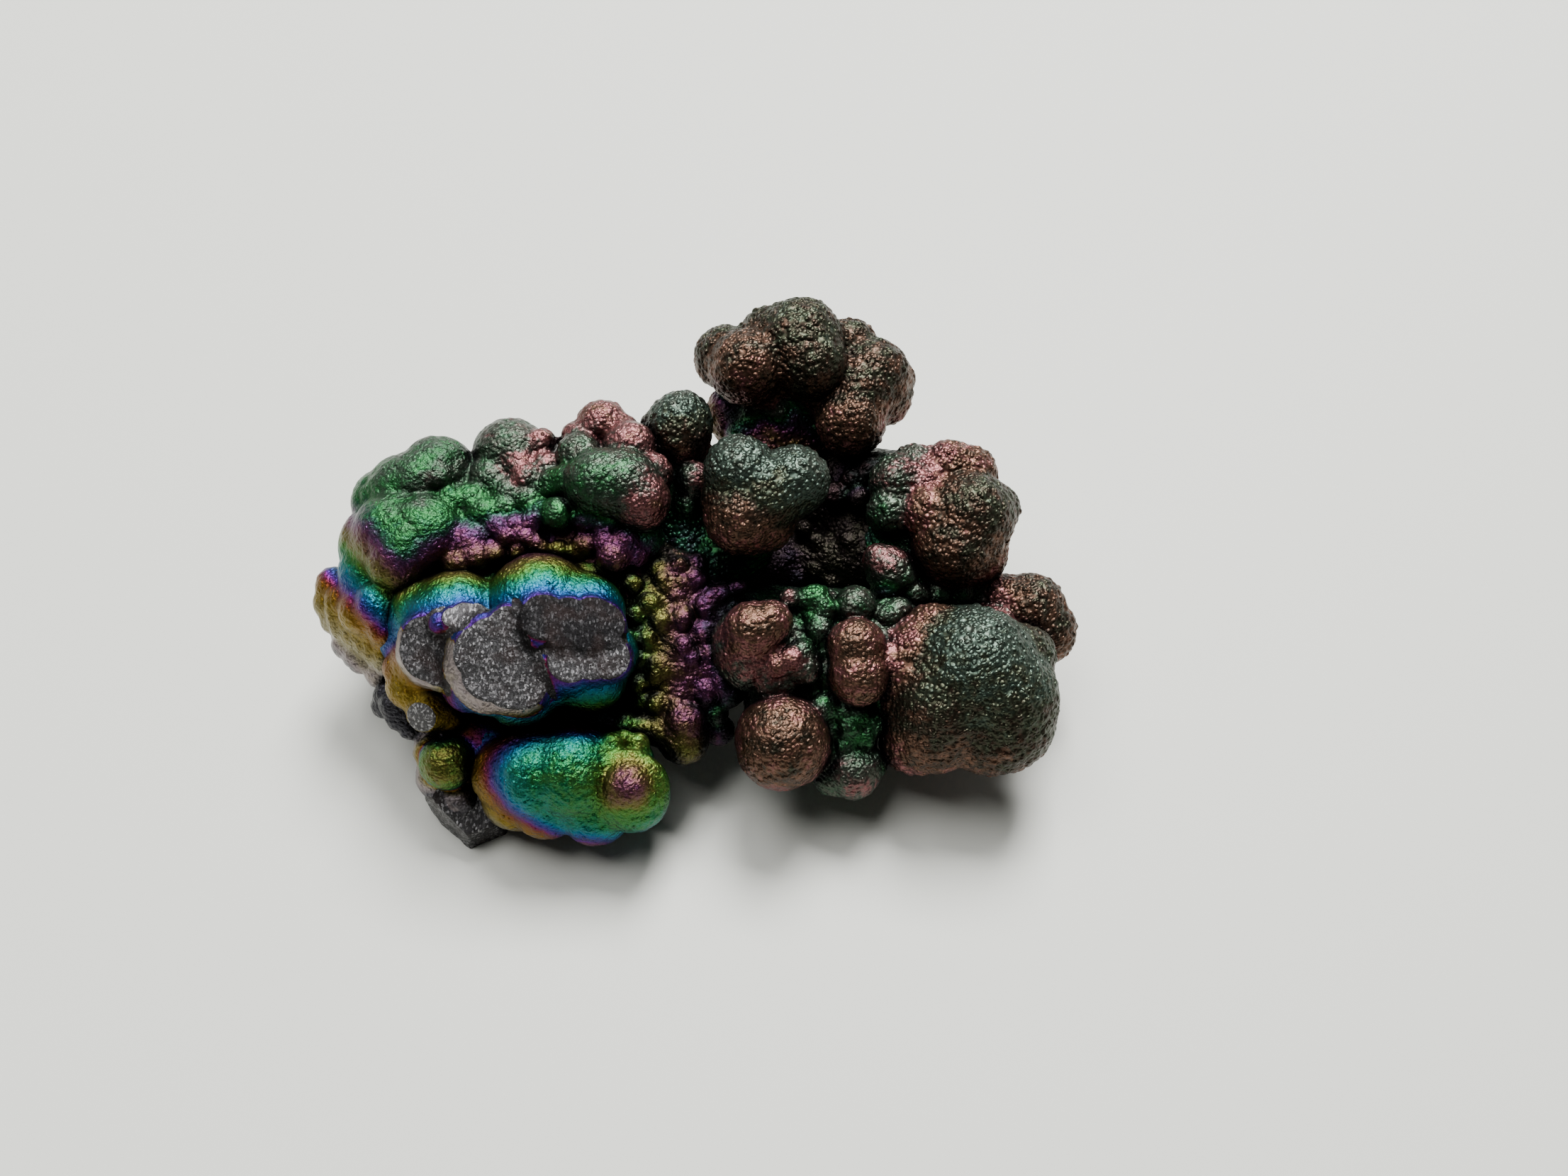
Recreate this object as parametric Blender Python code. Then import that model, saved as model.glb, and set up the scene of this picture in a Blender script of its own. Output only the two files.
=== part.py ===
"""A hand specimen of botryoidal goethite, 54 mm long, as the one solid that it grew as.

Round growths cover a lumpy mass on the left and four arms that reach out of it to the
right. The columns in the middle of the mass are snapped off flat, and the stone stands on
the few lumps of its underside that are worn flat.

Every growth is placed as it is seen along one line of sight: how far across and up it
lies in the plane square to that line, how far out it stands from that plane, and how
large it looks, all in millimetres. stand() turns these into the specimen's own frame,
in which +X runs from the mass to the arms and +Z is up.
"""

import math

import bmesh
import bpy
from mathutils import Vector, noise

MM = 0.001

# The line of sight
SIGHT_SLOPE = math.radians(55.0)
EYE_DISTANCE = 95.0
SIGHT_HEIGHT = 11.6
# From the line of sight to the middle of the specimen, so that its box stands over the origin
MIDDLE_ACROSS = -6.26
MIDDLE_DEPTH = 3.3

# The skin that closes over all growths
SKIN_CELL = 0.30
UNEVEN_HEIGHT = 0.16
UNEVEN_LENGTH = 2.4
SKIN_TRIANGLES = 9700
# Folds sharper than this stay sharp to the eye: the rims of breaks and the creases between growths
CREASE_ANGLE = math.radians(38.0)
# Beads smaller than this show as no more than a grain of the surface
SMALLEST = 0.72

# Elongated growths and rows of growths are chains of balls this share of a radius apart
CHAIN_STEP = 0.4

BASE_COLOUR = (0.055, 0.052, 0.05, 1.0)

# Each growth below is one ball: across, up, out, radius.
# The green and purple domes at the upper left
DOMES = [
    (-24.4, 8.2, -1.6, 2.6), (-26.6, 6.9, -1.6, 2.7), (-24.3, 7.8, 0.4, 0.95),
    (-25.6, 7.4, -1.0, 2.4), (-22.7, 7.3, -1.4, 1.3), (-27.9, 6.0, -2.2, 2.5),
    (-27.3, 3.7, 0.2, 3.1), (-25.2, 3.8, 0.6, 2.9), (-27.0, 2.0, 1.4, 2.4),
    (-26.2, 2.9, 1.3, 2.5), (-28.4, 3.0, -1.3, 2.9), (-28.8, 0.9, -1.2, 2.6),
    (-22.2, 3.3, 1.0, 1.5), (-23.4, 3.2, 1.0, 1.2), (-23.4, 6.1, 0.2, 1.2),
    (-22.0, 6.1, 0.0, 1.3), (-21.2, 5.2, 0.5, 1.3), (-21.6, 2.2, 1.6, 1.1),
    (-23.0, 1.7, 1.6, 1.1),
]
# The lowest lobes of the left edge, beside the ribs
EDGE = [
    (-31.6, 0.1, -2.6, 1.4), (-31.9, -1.0, -2.6, 1.25), (-31.5, -2.2, -2.7, 1.1),
    (-28.5, -1.2, 1.1, 1.75), (-29.4, -1.6, 0.0, 1.9), (-28.0, -2.8, 0.8, 1.4),
    (-29.6, -4.6, -2.6, 1.5), (-28.3, -5.8, -1.9, 1.3), (-30.6, -3.8, -3.0, 1.3),
]
# The lobe with the round chip and the dark beads below it
LOWER_EDGE = [
    (-27.0, -5.6, 1.6, 1.25), (-26.3, -6.9, 1.5, 1.7), (-24.8, -8.2, 1.5, 1.85),
    (-23.9, -9.0, 1.0, 1.3), (-28.0, -7.5, -0.7, 0.95), (-27.4, -8.2, 0.0, 1.1),
    (-27.1, -9.1, -0.3, 0.95), (-26.3, -9.9, -0.4, 0.8), (-28.2, -8.3, -1.1, 0.9),
    (-26.2, -8.0, -1.0, 1.8), (-24.9, -10.2, -1.0, 1.2),
    (-23.7, -12.3, 0.9, 1.95), (-24.7, -11.5, -0.4, 1.4), (-24.5, -13.4, -0.8, 1.4),
    (-22.9, -14.9, -0.4, 1.4), (-23.4, -12.6, -1.6, 2.4),
]
# The smooth rainbow lobe at the lower left and the collared knob on it
RAINBOW = [
    (-17.6, -13.0, 2.0, 3.3), (-14.9, -13.0, 2.3, 3.3), (-19.3, -13.2, 1.2, 2.7),
    (-16.6, -15.0, 1.0, 2.7), (-13.3, -15.3, 1.0, 2.8), (-19.0, -14.8, 0.4, 2.3),
    (-12.4, -12.9, 2.0, 2.2), (-10.8, -14.4, 2.2, 2.8), (-11.0, -13.9, 3.7, 2.0),
    (-12.1, -11.2, 2.8, 1.05), (-10.3, -11.0, 2.2, 0.8), (-13.7, -10.9, 2.2, 1.0),
    (-10.3, -12.0, 2.0, 1.2), (-15.4, -11.2, 1.3, 1.9), (-17.9, -11.6, 0.8, 1.9),
]
# The slope of green, pink and olive beads between the domes and the arms
SLOPE = [
    (-19.2, 9.3, -2.6, 2.7), (-17.1, 10.2, -1.6, 1.15), (-20.5, 7.6, -1.3, 1.8),
    (-18.7, 8.6, -0.7, 1.2), (-18.1, 7.7, -0.1, 1.1), (-16.8, 8.6, -0.8, 1.1),
    (-19.4, 6.6, -0.3, 1.35), (-19.7, 5.5, 0.3, 1.1), (-18.2, 6.1, 0.4, 1.0),
    (-17.2, 5.3, 0.8, 0.95), (-20.2, 4.3, 0.9, 1.0), (-19.0, 4.4, 1.1, 0.9),
    (-17.9, 4.6, 1.1, 0.85), (-19.5, 3.6, 1.4, 0.8), (-18.3, 3.6, 1.5, 0.75),
    (-17.6, 3.2, 1.5, 0.6), (-20.3, 2.4, 1.3, 0.8), (-18.7, 2.5, 1.4, 0.65),
    (-17.1, 2.8, 1.2, 0.65), (-15.9, 2.7, 1.1, 0.65), (-14.7, 2.5, 0.9, 0.65),
    (-16.0, 5.2, 1.3, 1.15), (-15.3, 7.6, 0.6, 1.15), (-16.2, 7.3, 0.1, 1.2),
    (-17.0, 6.8, -0.2, 1.1), (-13.9, 4.9, 0.9, 1.15), (-12.6, 4.7, 0.8, 1.1),
    (-12.6, 3.3, 1.3, 0.9), (-11.2, 3.3, 1.2, 0.95), (-12.0, 2.1, 1.5, 1.15),
    (-10.5, 2.3, 0.7, 0.95), (-14.0, 3.1, 1.0, 0.85), (-9.7, 3.4, 0.0, 1.3),
]
# The pink and green knob beside the slope
GREEN_KNOB = [
    (-12.9, 7.3, 1.0, 2.6), (-11.3, 7.2, 1.0, 2.6), (-10.1, 6.2, 1.3, 2.1),
    (-10.9, 9.9, -0.8, 1.9), (-14.4, 9.3, -0.6, 1.7), (-12.8, 11.4, -2.3, 1.85),
    (-14.6, 10.6, -1.8, 1.2), (-11.5, 11.0, -2.0, 1.3), (-9.3, 8.0, 0.0, 1.5),
]
# The lone round knob between it and the crown
ROUND_KNOB = [
    (-7.3, 11.3, -2.4, 2.5), (-9.2, 11.3, -3.0, 1.0), (-6.3, 7.6, -1.5, 1.3),
    (-6.8, 5.8, -1.8, 0.9), (-8.6, 10.0, -3.0, 1.2),
]
# The crown, the furthest arm
CROWN = [
    (-4.2, 16.3, -6.6, 2.2), (-2.6, 15.6, -4.6, 2.7), (1.1, 17.3, -5.6, 3.15),
    (1.9, 15.8, -4.6, 2.6), (-0.9, 17.6, -6.4, 2.3), (4.6, 17.1, -7.2, 1.95),
    (6.2, 14.9, -6.5, 2.7), (4.7, 11.7, -5.2, 2.5), (5.5, 13.7, -5.7, 2.4),
    (7.0, 13.4, -7.2, 2.0), (2.6, 14.3, -6.6, 2.4), (-1.2, 14.6, -6.8, 2.4),
    (-0.4, 12.6, -6.2, 0.95), (0.5, 11.8, -6.7, 0.95), (-2.3, 12.1, -6.5, 0.8),
    (-4.0, 12.4, -5.9, 0.5), (-3.1, 11.0, -7.0, 0.9), (1.9, 11.3, -7.2, 0.8),
]
# The teal and brown knob in front of the hollow
MIDDLE_KNOB = [
    (-3.1, 8.2, 0.6, 2.6), (0.8, 7.6, 0.3, 2.5), (-3.0, 5.0, 0.8, 2.65),
    (-1.2, 6.6, 0.7, 2.7), (-4.2, 6.4, 0.3, 1.7), (-1.3, 4.4, 0.2, 1.9),
]
# The arm at the right, above the big knob
RIGHT_ARM = [
    (8.0, 7.5, -3.4, 2.0), (7.5, 5.3, -2.9, 1.7), (9.1, 8.6, -4.2, 1.6),
    (11.6, 8.5, -4.1, 1.95), (13.1, 8.1, -4.3, 1.95), (13.1, 5.0, -2.4, 3.2),
    (10.2, 5.3, -2.1, 2.0), (12.0, 2.9, -2.0, 2.9), (15.0, 5.6, -3.2, 1.6),
    (10.0, 7.2, -3.2, 1.6), (13.6, 2.4, -3.0, 2.2),
    (6.6, 2.0, -1.6, 1.05), (7.4, 1.2, -1.8, 1.4), (8.3, 0.8, -1.3, 0.95),
    (7.3, -0.1, -1.4, 1.0), (9.3, -0.5, -1.7, 0.95), (10.8, -0.5, -2.4, 0.8),
    (12.6, -0.5, -2.8, 0.8),
]
# The small knob furthest to the right
FAR_KNOB = [
    (17.3, -1.5, -4.0, 2.6), (18.4, -3.0, -3.9, 2.3), (15.4, -0.7, -3.9, 1.7),
    (17.2, -3.4, -4.4, 2.2),
]
# The big dark knob at the lower right
BIG_KNOB = [
    (13.7, -5.7, 1.2, 4.2), (15.4, -7.6, 1.6, 3.9), (11.3, -8.2, 1.4, 3.9),
    (15.5, -9.4, 1.0, 3.5), (10.6, -9.7, 0.8, 3.3), (14.3, -10.2, 0.9, 2.9),
    (9.0, -10.7, 0.0, 2.3), (9.3, -4.3, 1.0, 1.7), (10.4, -2.9, 0.4, 1.5),
    (17.0, -4.8, 0.0, 2.2),
]
# The pink knobs of the lower arm with the green beads between them
PINK_KNOBS = [
    (5.1, -4.2, 2.2, 2.1), (5.3, -6.1, 2.4, 2.2), (7.8, -5.2, 1.6, 1.6),
    (-0.9, -2.2, 2.0, 1.5), (-2.0, -3.2, 2.1, 1.85), (-0.8, -3.4, 1.9, 1.7),
    (-1.2, -5.5, 2.6, 1.05), (-0.2, -5.2, 2.6, 1.05), (-1.6, -3.6, 0.6, 3.2),
    (-0.1, -10.9, 1.8, 3.4), (2.3, -0.7, 0.9, 1.0), (2.9, -1.5, 1.2, 0.9),
    (1.5, -0.8, 0.9, 0.8), (2.4, -2.9, 1.4, 1.0), (5.0, -1.3, 0.7, 1.5),
    (7.3, -2.1, 0.6, 1.1), (8.2, -1.5, 0.4, 0.9), (1.3, -4.5, 2.0, 0.95),
    (1.6, -5.7, 2.1, 1.0), (0.4, -0.8, 1.3, 0.75), (2.9, -8.4, 1.7, 1.0),
    (3.3, -6.0, 1.0, 1.1), (4.8, -9.3, 1.6, 1.25), (5.0, -10.8, 1.4, 1.3),
    (6.2, -9.6, 1.0, 0.95), (3.6, -9.8, 1.0, 0.9), (4.9, -13.0, 0.8, 1.9),
    (3.4, -13.4, 0.4, 1.3), (6.0, -12.4, 0.4, 1.2), (3.0, -11.8, 0.2, 1.5),
]
# The beads of the neck, between the mass and the arms
NECK = [
    (-9.5, -1.2, 0.9, 0.85), (-8.7, -2.4, 1.1, 0.85), (-7.2, -2.2, 0.9, 0.8),
    (-9.8, -3.6, 1.2, 0.8), (-11.0, -3.5, 1.6, 0.7), (-9.0, -5.4, 1.2, 0.8),
    (-9.1, -6.3, 1.2, 0.8), (-10.2, -5.0, 1.2, 0.6), (-10.3, -6.8, 1.2, 0.7),
    (-7.1, -4.1, 1.2, 0.8), (-6.5, -4.9, 1.1, 0.75), (-7.5, -5.8, 1.0, 0.6),
    (-6.6, -6.4, 0.9, 0.75), (-5.6, -7.3, 0.8, 0.95), (-7.2, -7.4, 0.8, 0.8),
    (-4.5, -6.2, 0.6, 0.95), (-3.8, -7.4, 0.4, 1.0), (-5.5, -5.8, 0.7, 0.6),
    (-6.3, 0.5, -0.2, 1.0), (-7.8, 1.3, -0.4, 0.85), (-6.1, 1.8, -0.9, 0.7),
    (-4.1, 1.7, -1.2, 0.8), (-3.0, 1.8, -1.5, 0.6), (-9.0, 1.3, -0.2, 0.8),
    (-10.7, 0.3, 0.9, 0.8), (-7.6, -0.6, 0.3, 0.7), (-5.6, -1.2, 0.4, 0.8),
    (-4.4, -0.5, 0.0, 0.8), (-3.2, 0.0, 0.0, 0.6), (-8.3, 0.0, 0.3, 0.7),
    (-5.9, -3.1, 0.6, 0.7), (-5.0, -4.6, 0.4, 0.6), (-5.2, -2.4, 0.3, 0.6),
    (-9.0, -8.2, 1.2, 0.85), (-7.6, -8.4, 1.4, 0.6), (-7.0, -9.5, 1.2, 1.5),
    (-7.1, -10.7, 0.6, 1.8), (-8.8, -10.0, 0.8, 1.2), (-4.8, -8.8, 0.0, 0.9),
    (-4.6, -10.0, -0.8, 1.1), (-9.9, -9.8, 1.0, 0.9), (-11.2, -9.7, 1.2, 0.9),
    (-8.0, -3.5, 0.9, 0.65), (-8.2, -4.6, 0.9, 0.6), (-10.6, -1.9, 1.2, 0.7),
    (-10.0, -8.0, 0.9, 0.7), (-8.2, -7.2, 0.8, 0.7), (-6.0, -8.6, 0.4, 0.7),
]
# The beads that line the hollow behind the lower arm
HOLLOW = [
    (1.4, 4.1, -4.6, 0.7), (2.3, 3.2, -4.9, 0.85), (4.6, 3.2, -4.6, 1.0),
    (3.2, 2.6, -5.0, 0.7), (3.4, 1.5, -4.8, 0.85), (0.3, 2.2, -5.0, 0.7),
    (0.8, 0.6, -4.6, 0.75), (3.3, 0.4, -4.6, 0.75), (-1.0, 0.8, -4.4, 0.7),
    (5.2, 6.3, -5.0, 0.9), (3.6, 6.5, -5.4, 1.0), (4.9, 7.6, -5.3, 0.9),
    (6.0, 8.4, -5.4, 0.85), (2.0, 1.2, -5.2, 0.7), (-2.2, 2.4, -4.6, 0.8),
]

# The ribs that run down the left edge: the first one's two ends, then the step to the next
RIB_COUNT = 5
RIB_TOP, RIB_TOP_STEP = Vector((-31.3, -0.7, -1.2)), Vector((0.82, -0.36, 0.42))
RIB_FOOT, RIB_FOOT_STEP = Vector((-30.9, -3.0, -1.9)), Vector((0.72, -0.60, 0.40))
RIB_RADIUS, RIB_FOOT_RADIUS = 0.95, 0.85

# Breaks: a point of each and the direction that it faces, outward
BREAKS = {
    "left": (Vector((-25.4, -4.5, 5.3)), Vector((-0.26, -0.06, 0.96))),
    "chip": (Vector((-22.8, -2.0, 5.95)), Vector((-0.08, 0.34, 0.94))),
    "sparkling": (Vector((-20.0, -5.4, 6.3)), Vector((-0.03, -0.08, 0.99))),
    "dark": (Vector((-15.4, -2.2, 5.75)), Vector((0.08, 0.20, 0.97))),
    "pale": (Vector((-14.2, -4.9, 5.8)), Vector((0.05, 0.02, 0.99))),
    "round": (Vector((-25.7, -9.0, 2.5)), Vector((-0.42, -0.32, 0.85))),
    "block_left": (Vector((-23.3, -16.2, 0.0)), Vector((-0.55, -0.35, 0.76))),
    "block_right": (Vector((-21.4, -16.2, 0.3)), Vector((0.22, 0.10, 0.97))),
    "block_end": (Vector((-20.4, -17.0, -0.6)), Vector((0.72, -0.62, 0.30))),
}
# How far from a break its skin is drawn level with it
BREAK_DEPTH = 0.45
# The growths that they cut off flat: the snapped columns, the chipped lobe and the broken block
BROKEN = [
    (["chip"], (-23.0, -2.5, 3.0, 3.4)), (["left"], (-25.1, -4.4, 3.3, 2.6)),
    (["sparkling"], (-20.7, -4.6, 5.1, 2.9)), (["sparkling"], (-19.0, -5.9, 5.0, 2.7)),
    (["sparkling"], (-21.6, -6.2, 4.9, 2.3)), (["sparkling"], (-18.4, -6.7, 4.8, 2.0)),
    (["dark"], (-17.3, -1.7, 2.6, 3.8)), (["dark"], (-14.3, -2.3, 3.7, 2.5)),
    (["dark"], (-16.0, -2.5, 4.0, 2.4)), (["pale"], (-14.7, -5.1, 4.2, 2.3)),
    (["pale"], (-12.9, -4.8, 4.6, 1.8)), (["round"], (-25.3, -8.8, 1.6, 1.35)),
    (["block_left", "block_right"], (-22.8, -16.0, -0.9, 2.2)),
    (["block_left", "block_right", "block_end"], (-21.3, -16.0, -0.9, 2.0)),
]
# The sides of the columns below their flat ends
COLUMN_SIDES = [
    (-18.4, -7.0, 2.6, 2.9), (-13.7, -6.3, 2.2, 2.6), (-16.4, -6.0, 2.6, 2.6),
    (-21.8, -6.6, 2.8, 2.3), (-25.2, -5.0, 1.8, 2.4), (-12.4, -4.6, 1.8, 2.2),
    (-14.2, -3.0, 2.0, 2.7), (-20.6, -5.0, 2.6, 3.0),
]

# What the growths sit on, hidden under them: chains from ball to ball
STEMS = [
    [(-24.0, 2.0, -3.5, 6.3), (-18.5, 3.0, -4.0, 6.3)],
    [(-24.5, -2.5, -2.0, 4.6), (-18.0, -3.5, -2.0, 5.6), (-14.0, -1.5, -3.0, 5.0)],
    [(-22.5, -11.0, -2.0, 2.8), (-14.0, -12.5, -1.6, 3.4)],
    [(-20.0, -8.0, -3.8, 3.7), (-14.0, -9.0, -3.6, 3.3)],
    [(-14.0, 3.0, -3.0, 3.8), (-9.0, -2.0, -3.2, 3.5)],
    [(-9.5, 0.5, -3.0, 3.2), (-8.8, -5.5, -2.2, 3.3), (-9.0, -9.0, -1.4, 2.0)],
    [(-12.0, 6.0, -2.8, 3.0), (-7.0, 8.6, -4.2, 2.2)],
    [(-9.0, -4.5, -2.6, 3.4), (-4.5, -4.8, -2.4, 2.9), (-1.0, -5.0, -1.6, 3.0)],
    [(-1.0, -5.0, -1.6, 3.0), (3.0, -5.6, -1.8, 2.7), (7.0, -5.6, -1.6, 3.0), (12.5, -6.5, -0.8, 3.6)],
    [(-0.5, -6.0, -1.2, 2.4), (0.0, -10.0, -0.2, 2.6)],
    [(5.0, -6.0, -1.0, 2.4), (4.8, -12.4, -0.8, 1.6)],
    [(-7.0, 0.0, -4.4, 2.8), (-3.4, 3.2, -4.6, 2.6), (-2.4, 6.4, -2.2, 2.2)],
    [(-4.0, 1.5, -6.2, 2.6), (-2.6, 6.0, -8.4, 2.6), (-1.0, 10.4, -9.0, 2.5), (1.4, 14.4, -8.2, 2.8)],
    [(-4.0, 0.5, -6.0, 2.6), (1.0, 1.6, -7.6, 2.4), (6.4, 2.0, -6.8, 2.5), (11.5, 4.4, -5.0, 2.8)],
    [(4.6, 3.8, -7.8, 2.3), (4.4, 8.0, -8.4, 2.0), (8.0, 7.6, -6.2, 2.0)],
    [(0.0, 5.0, -9.0, 2.4), (4.0, 6.6, -9.0, 2.2)],
    [(11.5, -6.0, -1.6, 2.8), (15.6, -2.4, -4.4, 2.2)],
    [(8.8, 0.0, -5.8, 2.1), (10.5, -3.6, -3.2, 2.4)],
    [(-7.0, 8.6, -4.4, 2.2), (-7.2, 4.4, -4.2, 2.2), (-7.0, 0.0, -4.4, 2.8)],
    [(-3.6, 12.4, -9.0, 1.9), (-1.0, 10.4, -9.0, 2.5), (2.6, 10.6, -9.0, 1.7)],
    [(12.0, 0.6, -5.0, 1.8), (15.0, -1.6, -5.2, 1.8)],
    [(-5.0, -2.0, -4.6, 2.6), (1.0, -2.2, -5.5, 2.4), (8.0, -2.6, -5.9, 2.4)],
    [(-7.6, 0.4, -2.0, 2.3), (-7.6, -5.0, -1.2, 2.3), (-7.4, -8.6, -0.8, 1.9)],
    [(-5.0, -1.4, -2.0, 2.2), (-4.8, -5.8, -1.2, 2.2)],
    [(-1.0, -3.4, -0.8, 2.6), (2.6, -4.2, -1.0, 2.6), (5.4, -3.6, -0.8, 2.4), (9.4, -4.6, -1.4, 2.6)],
]
# The worn lumps that the stone stands on, under the mass and under the arms
FEET = [
    (-21.0, -0.6, -7.4, 5.4), (-15.5, -9.6, -4.0, 3.6), (-16.0, 4.0, -8.6, 4.6),
    (9.6, -3.4, -7.9, 3.3), (6.0, -4.6, -5.4, 2.8), (12.0, -5.0, -4.6, 2.8),
]

# Smaller lumps bud from the far side of these, which the line of sight doesn't reach
BUD_PARENTS = [
    (-24.0, 2.0, -3.5, 6.3, 11), (-18.5, 3.0, -4.0, 6.3, 11), (-21.0, -0.6, -7.4, 5.4, 9),
    (-16.0, 4.0, -8.6, 4.6, 8), (-18.0, -3.5, -2.0, 5.6, 7), (1.1, 17.3, -5.6, 3.15, 6),
    (6.2, 14.9, -6.5, 2.7, 5), (-3.0, 15.6, -5.6, 2.7, 5), (13.1, 5.0, -2.8, 3.2, 6),
    (17.3, -2.3, -4.2, 2.6, 5), (14.0, -7.5, 0.6, 4.2, 8), (-0.1, -10.9, 1.4, 3.4, 6),
    (9.6, -3.4, -7.9, 3.3, 6), (-1.2, 6.6, 0.4, 3.0, 5), (-1.0, -5.0, -1.6, 3.0, 5),
    (-8.8, -5.5, -2.6, 3.4, 5), (-16.0, -13.5, 0.6, 4.0, 6), (-7.3, 11.3, -2.6, 2.5, 4),
    (-2.6, 6.0, -8.4, 2.6, 6), (-1.0, 10.4, -9.0, 2.5, 6), (1.4, 14.4, -8.2, 2.8, 6),
    (1.0, 1.6, -7.6, 2.4, 6), (6.4, 2.0, -6.8, 2.5, 6), (11.5, 4.4, -5.0, 2.8, 5),
    (4.4, 8.0, -8.4, 2.0, 5), (4.0, 6.6, -9.0, 2.2, 5), (3.0, -5.6, -1.8, 2.7, 5),
    (-4.5, -4.8, -2.4, 2.9, 6), (-7.0, 8.6, -4.2, 2.2, 4), (-5.0, 2.0, -5.6, 2.8, 6),
    (0.5, -5.2, -1.8, 2.9, 6), (7.0, -5.6, -1.6, 3.0, 6), (12.0, -6.4, -0.8, 3.5, 7),
    (-1.0, -2.2, -5.3, 2.5, 6), (3.4, -2.3, -5.6, 2.4, 6), (-13.0, 4.0, -3.2, 3.8, 6),
    (-15.5, -9.6, -4.0, 3.6, 6), (-22.5, -11.0, -2.0, 2.8, 5), (-20.0, -8.0, -3.8, 3.7, 6),
]
BUD_REACH = 0.90
BUD_RADIUS = 0.42
BUD_TURN = math.radians(137.5)


def stand(across, up, out):
    """The point in the specimen's frame, in metres, of a place given along the line of sight."""
    nearer = (EYE_DISTANCE - out) / EYE_DISTANCE
    across *= nearer
    up *= nearer
    depth = up * math.sin(SIGHT_SLOPE) - out * math.cos(SIGHT_SLOPE)
    height = up * math.cos(SIGHT_SLOPE) + out * math.sin(SIGHT_SLOPE) + SIGHT_HEIGHT
    return Vector((across - MIDDLE_ACROSS, depth - MIDDLE_DEPTH, height)) * MM


def ball(across, up, out, radius):
    """A growth's centre and true radius, in metres."""
    nearer = (EYE_DISTANCE - out) / EYE_DISTANCE
    return stand(across, up, out), radius * nearer * MM


def chain(rows):
    """Balls along a line of growths, close enough together to make one smooth limb."""
    balls = []
    for start, end in zip(rows, rows[1:]):
        gap = math.dist(start[:3], end[:3])
        count = max(1, math.ceil(gap / (CHAIN_STEP * min(start[3], end[3]))))
        for step in range(count + 1):
            share = step / count
            balls.append([a + (b - a) * share for a, b in zip(start, end)])
    return balls


def ribs():
    """The ribs of the left edge, each a chain that thins a little towards its foot."""
    balls = []
    for number in range(RIB_COUNT):
        top = RIB_TOP + RIB_TOP_STEP * number
        foot = RIB_FOOT + RIB_FOOT_STEP * number
        balls += chain([(*top, RIB_RADIUS), (*foot, RIB_FOOT_RADIUS)])
    return balls


def buds():
    """Lumps spread evenly over the far half of each parent, by the golden angle."""
    balls = []
    for across, up, out, radius, count in BUD_PARENTS:
        for number in range(count):
            back = -0.12 - 0.84 * (number + 0.5) / count
            side = math.sqrt(1 - back * back)
            turn = number * BUD_TURN + across
            reach = radius * BUD_REACH
            size = radius * BUD_RADIUS * (1.0 + 0.22 * math.sin(number * 2.3 + up))
            balls.append((
                across + reach * side * math.cos(turn),
                up + reach * side * math.sin(turn),
                out + reach * back,
                size,
            ))
    return balls


def add_ball(bm, centre, radius, cuts=()):
    """Adds one ball to bm. cuts are the points and directions of the planes that it is broken off at."""
    piece = bmesh.new()
    fineness = 4 if radius > 1.6 * MM else 3
    bmesh.ops.create_icosphere(piece, subdivisions=fineness, radius=radius)
    bmesh.ops.translate(piece, vec=centre, verts=piece.verts)
    for point, direction in cuts:
        geometry = list(piece.verts) + list(piece.edges) + list(piece.faces)
        bmesh.ops.bisect_plane(piece, geom=geometry, plane_co=point, plane_no=direction, clear_outer=True)
        close_holes(piece)
    held = bpy.data.meshes.new("growth")
    piece.to_mesh(held)
    piece.free()
    bm.from_mesh(held)
    bpy.data.meshes.remove(held)


def close_holes(bm):
    """Caps every open outline with one flat face."""
    outline = [edge for edge in bm.edges if edge.is_boundary]
    bmesh.ops.holes_fill(bm, edges=outline, sides=0)
    bmesh.ops.recalc_face_normals(bm, faces=bm.faces)


def break_plane(name):
    """A break's point and outward direction in the specimen's frame."""
    point, direction = BREAKS[name]
    here = stand(*point)
    there = stand(*(point + direction * 0.01))
    return here, (there - here).normalized()


def growths():
    """All growths as overlapping closed balls in one mesh."""
    bm = bmesh.new()
    rows = DOMES + EDGE + LOWER_EDGE + RAINBOW + SLOPE + GREEN_KNOB + ROUND_KNOB + CROWN
    rows += MIDDLE_KNOB + RIGHT_ARM + FAR_KNOB + BIG_KNOB + PINK_KNOBS + NECK + HOLLOW
    rows += COLUMN_SIDES + FEET + ribs() + buds()
    for stem in STEMS:
        rows += chain(stem)
    for row in rows:
        if row[3] >= SMALLEST:
            add_ball(bm, *ball(*row))
    for names, row in BROKEN:
        add_ball(bm, *ball(*row), [break_plane(name) for name in names])
    mesh = bpy.data.meshes.new("growths")
    bm.to_mesh(mesh)
    bm.free()
    return mesh


def modified(mesh, kind, **settings):
    """A copy of mesh as one modifier leaves it."""
    holder = bpy.data.objects.new("holder", mesh)
    bpy.context.scene.collection.objects.link(holder)
    modifier = holder.modifiers.new(kind.title(), kind)
    for name, value in settings.items():
        setattr(modifier, name, value)
    bpy.context.view_layer.update()
    seen = holder.evaluated_get(bpy.context.evaluated_depsgraph_get())
    result = bpy.data.meshes.new_from_object(seen)
    bpy.data.objects.remove(holder)
    return result


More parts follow.
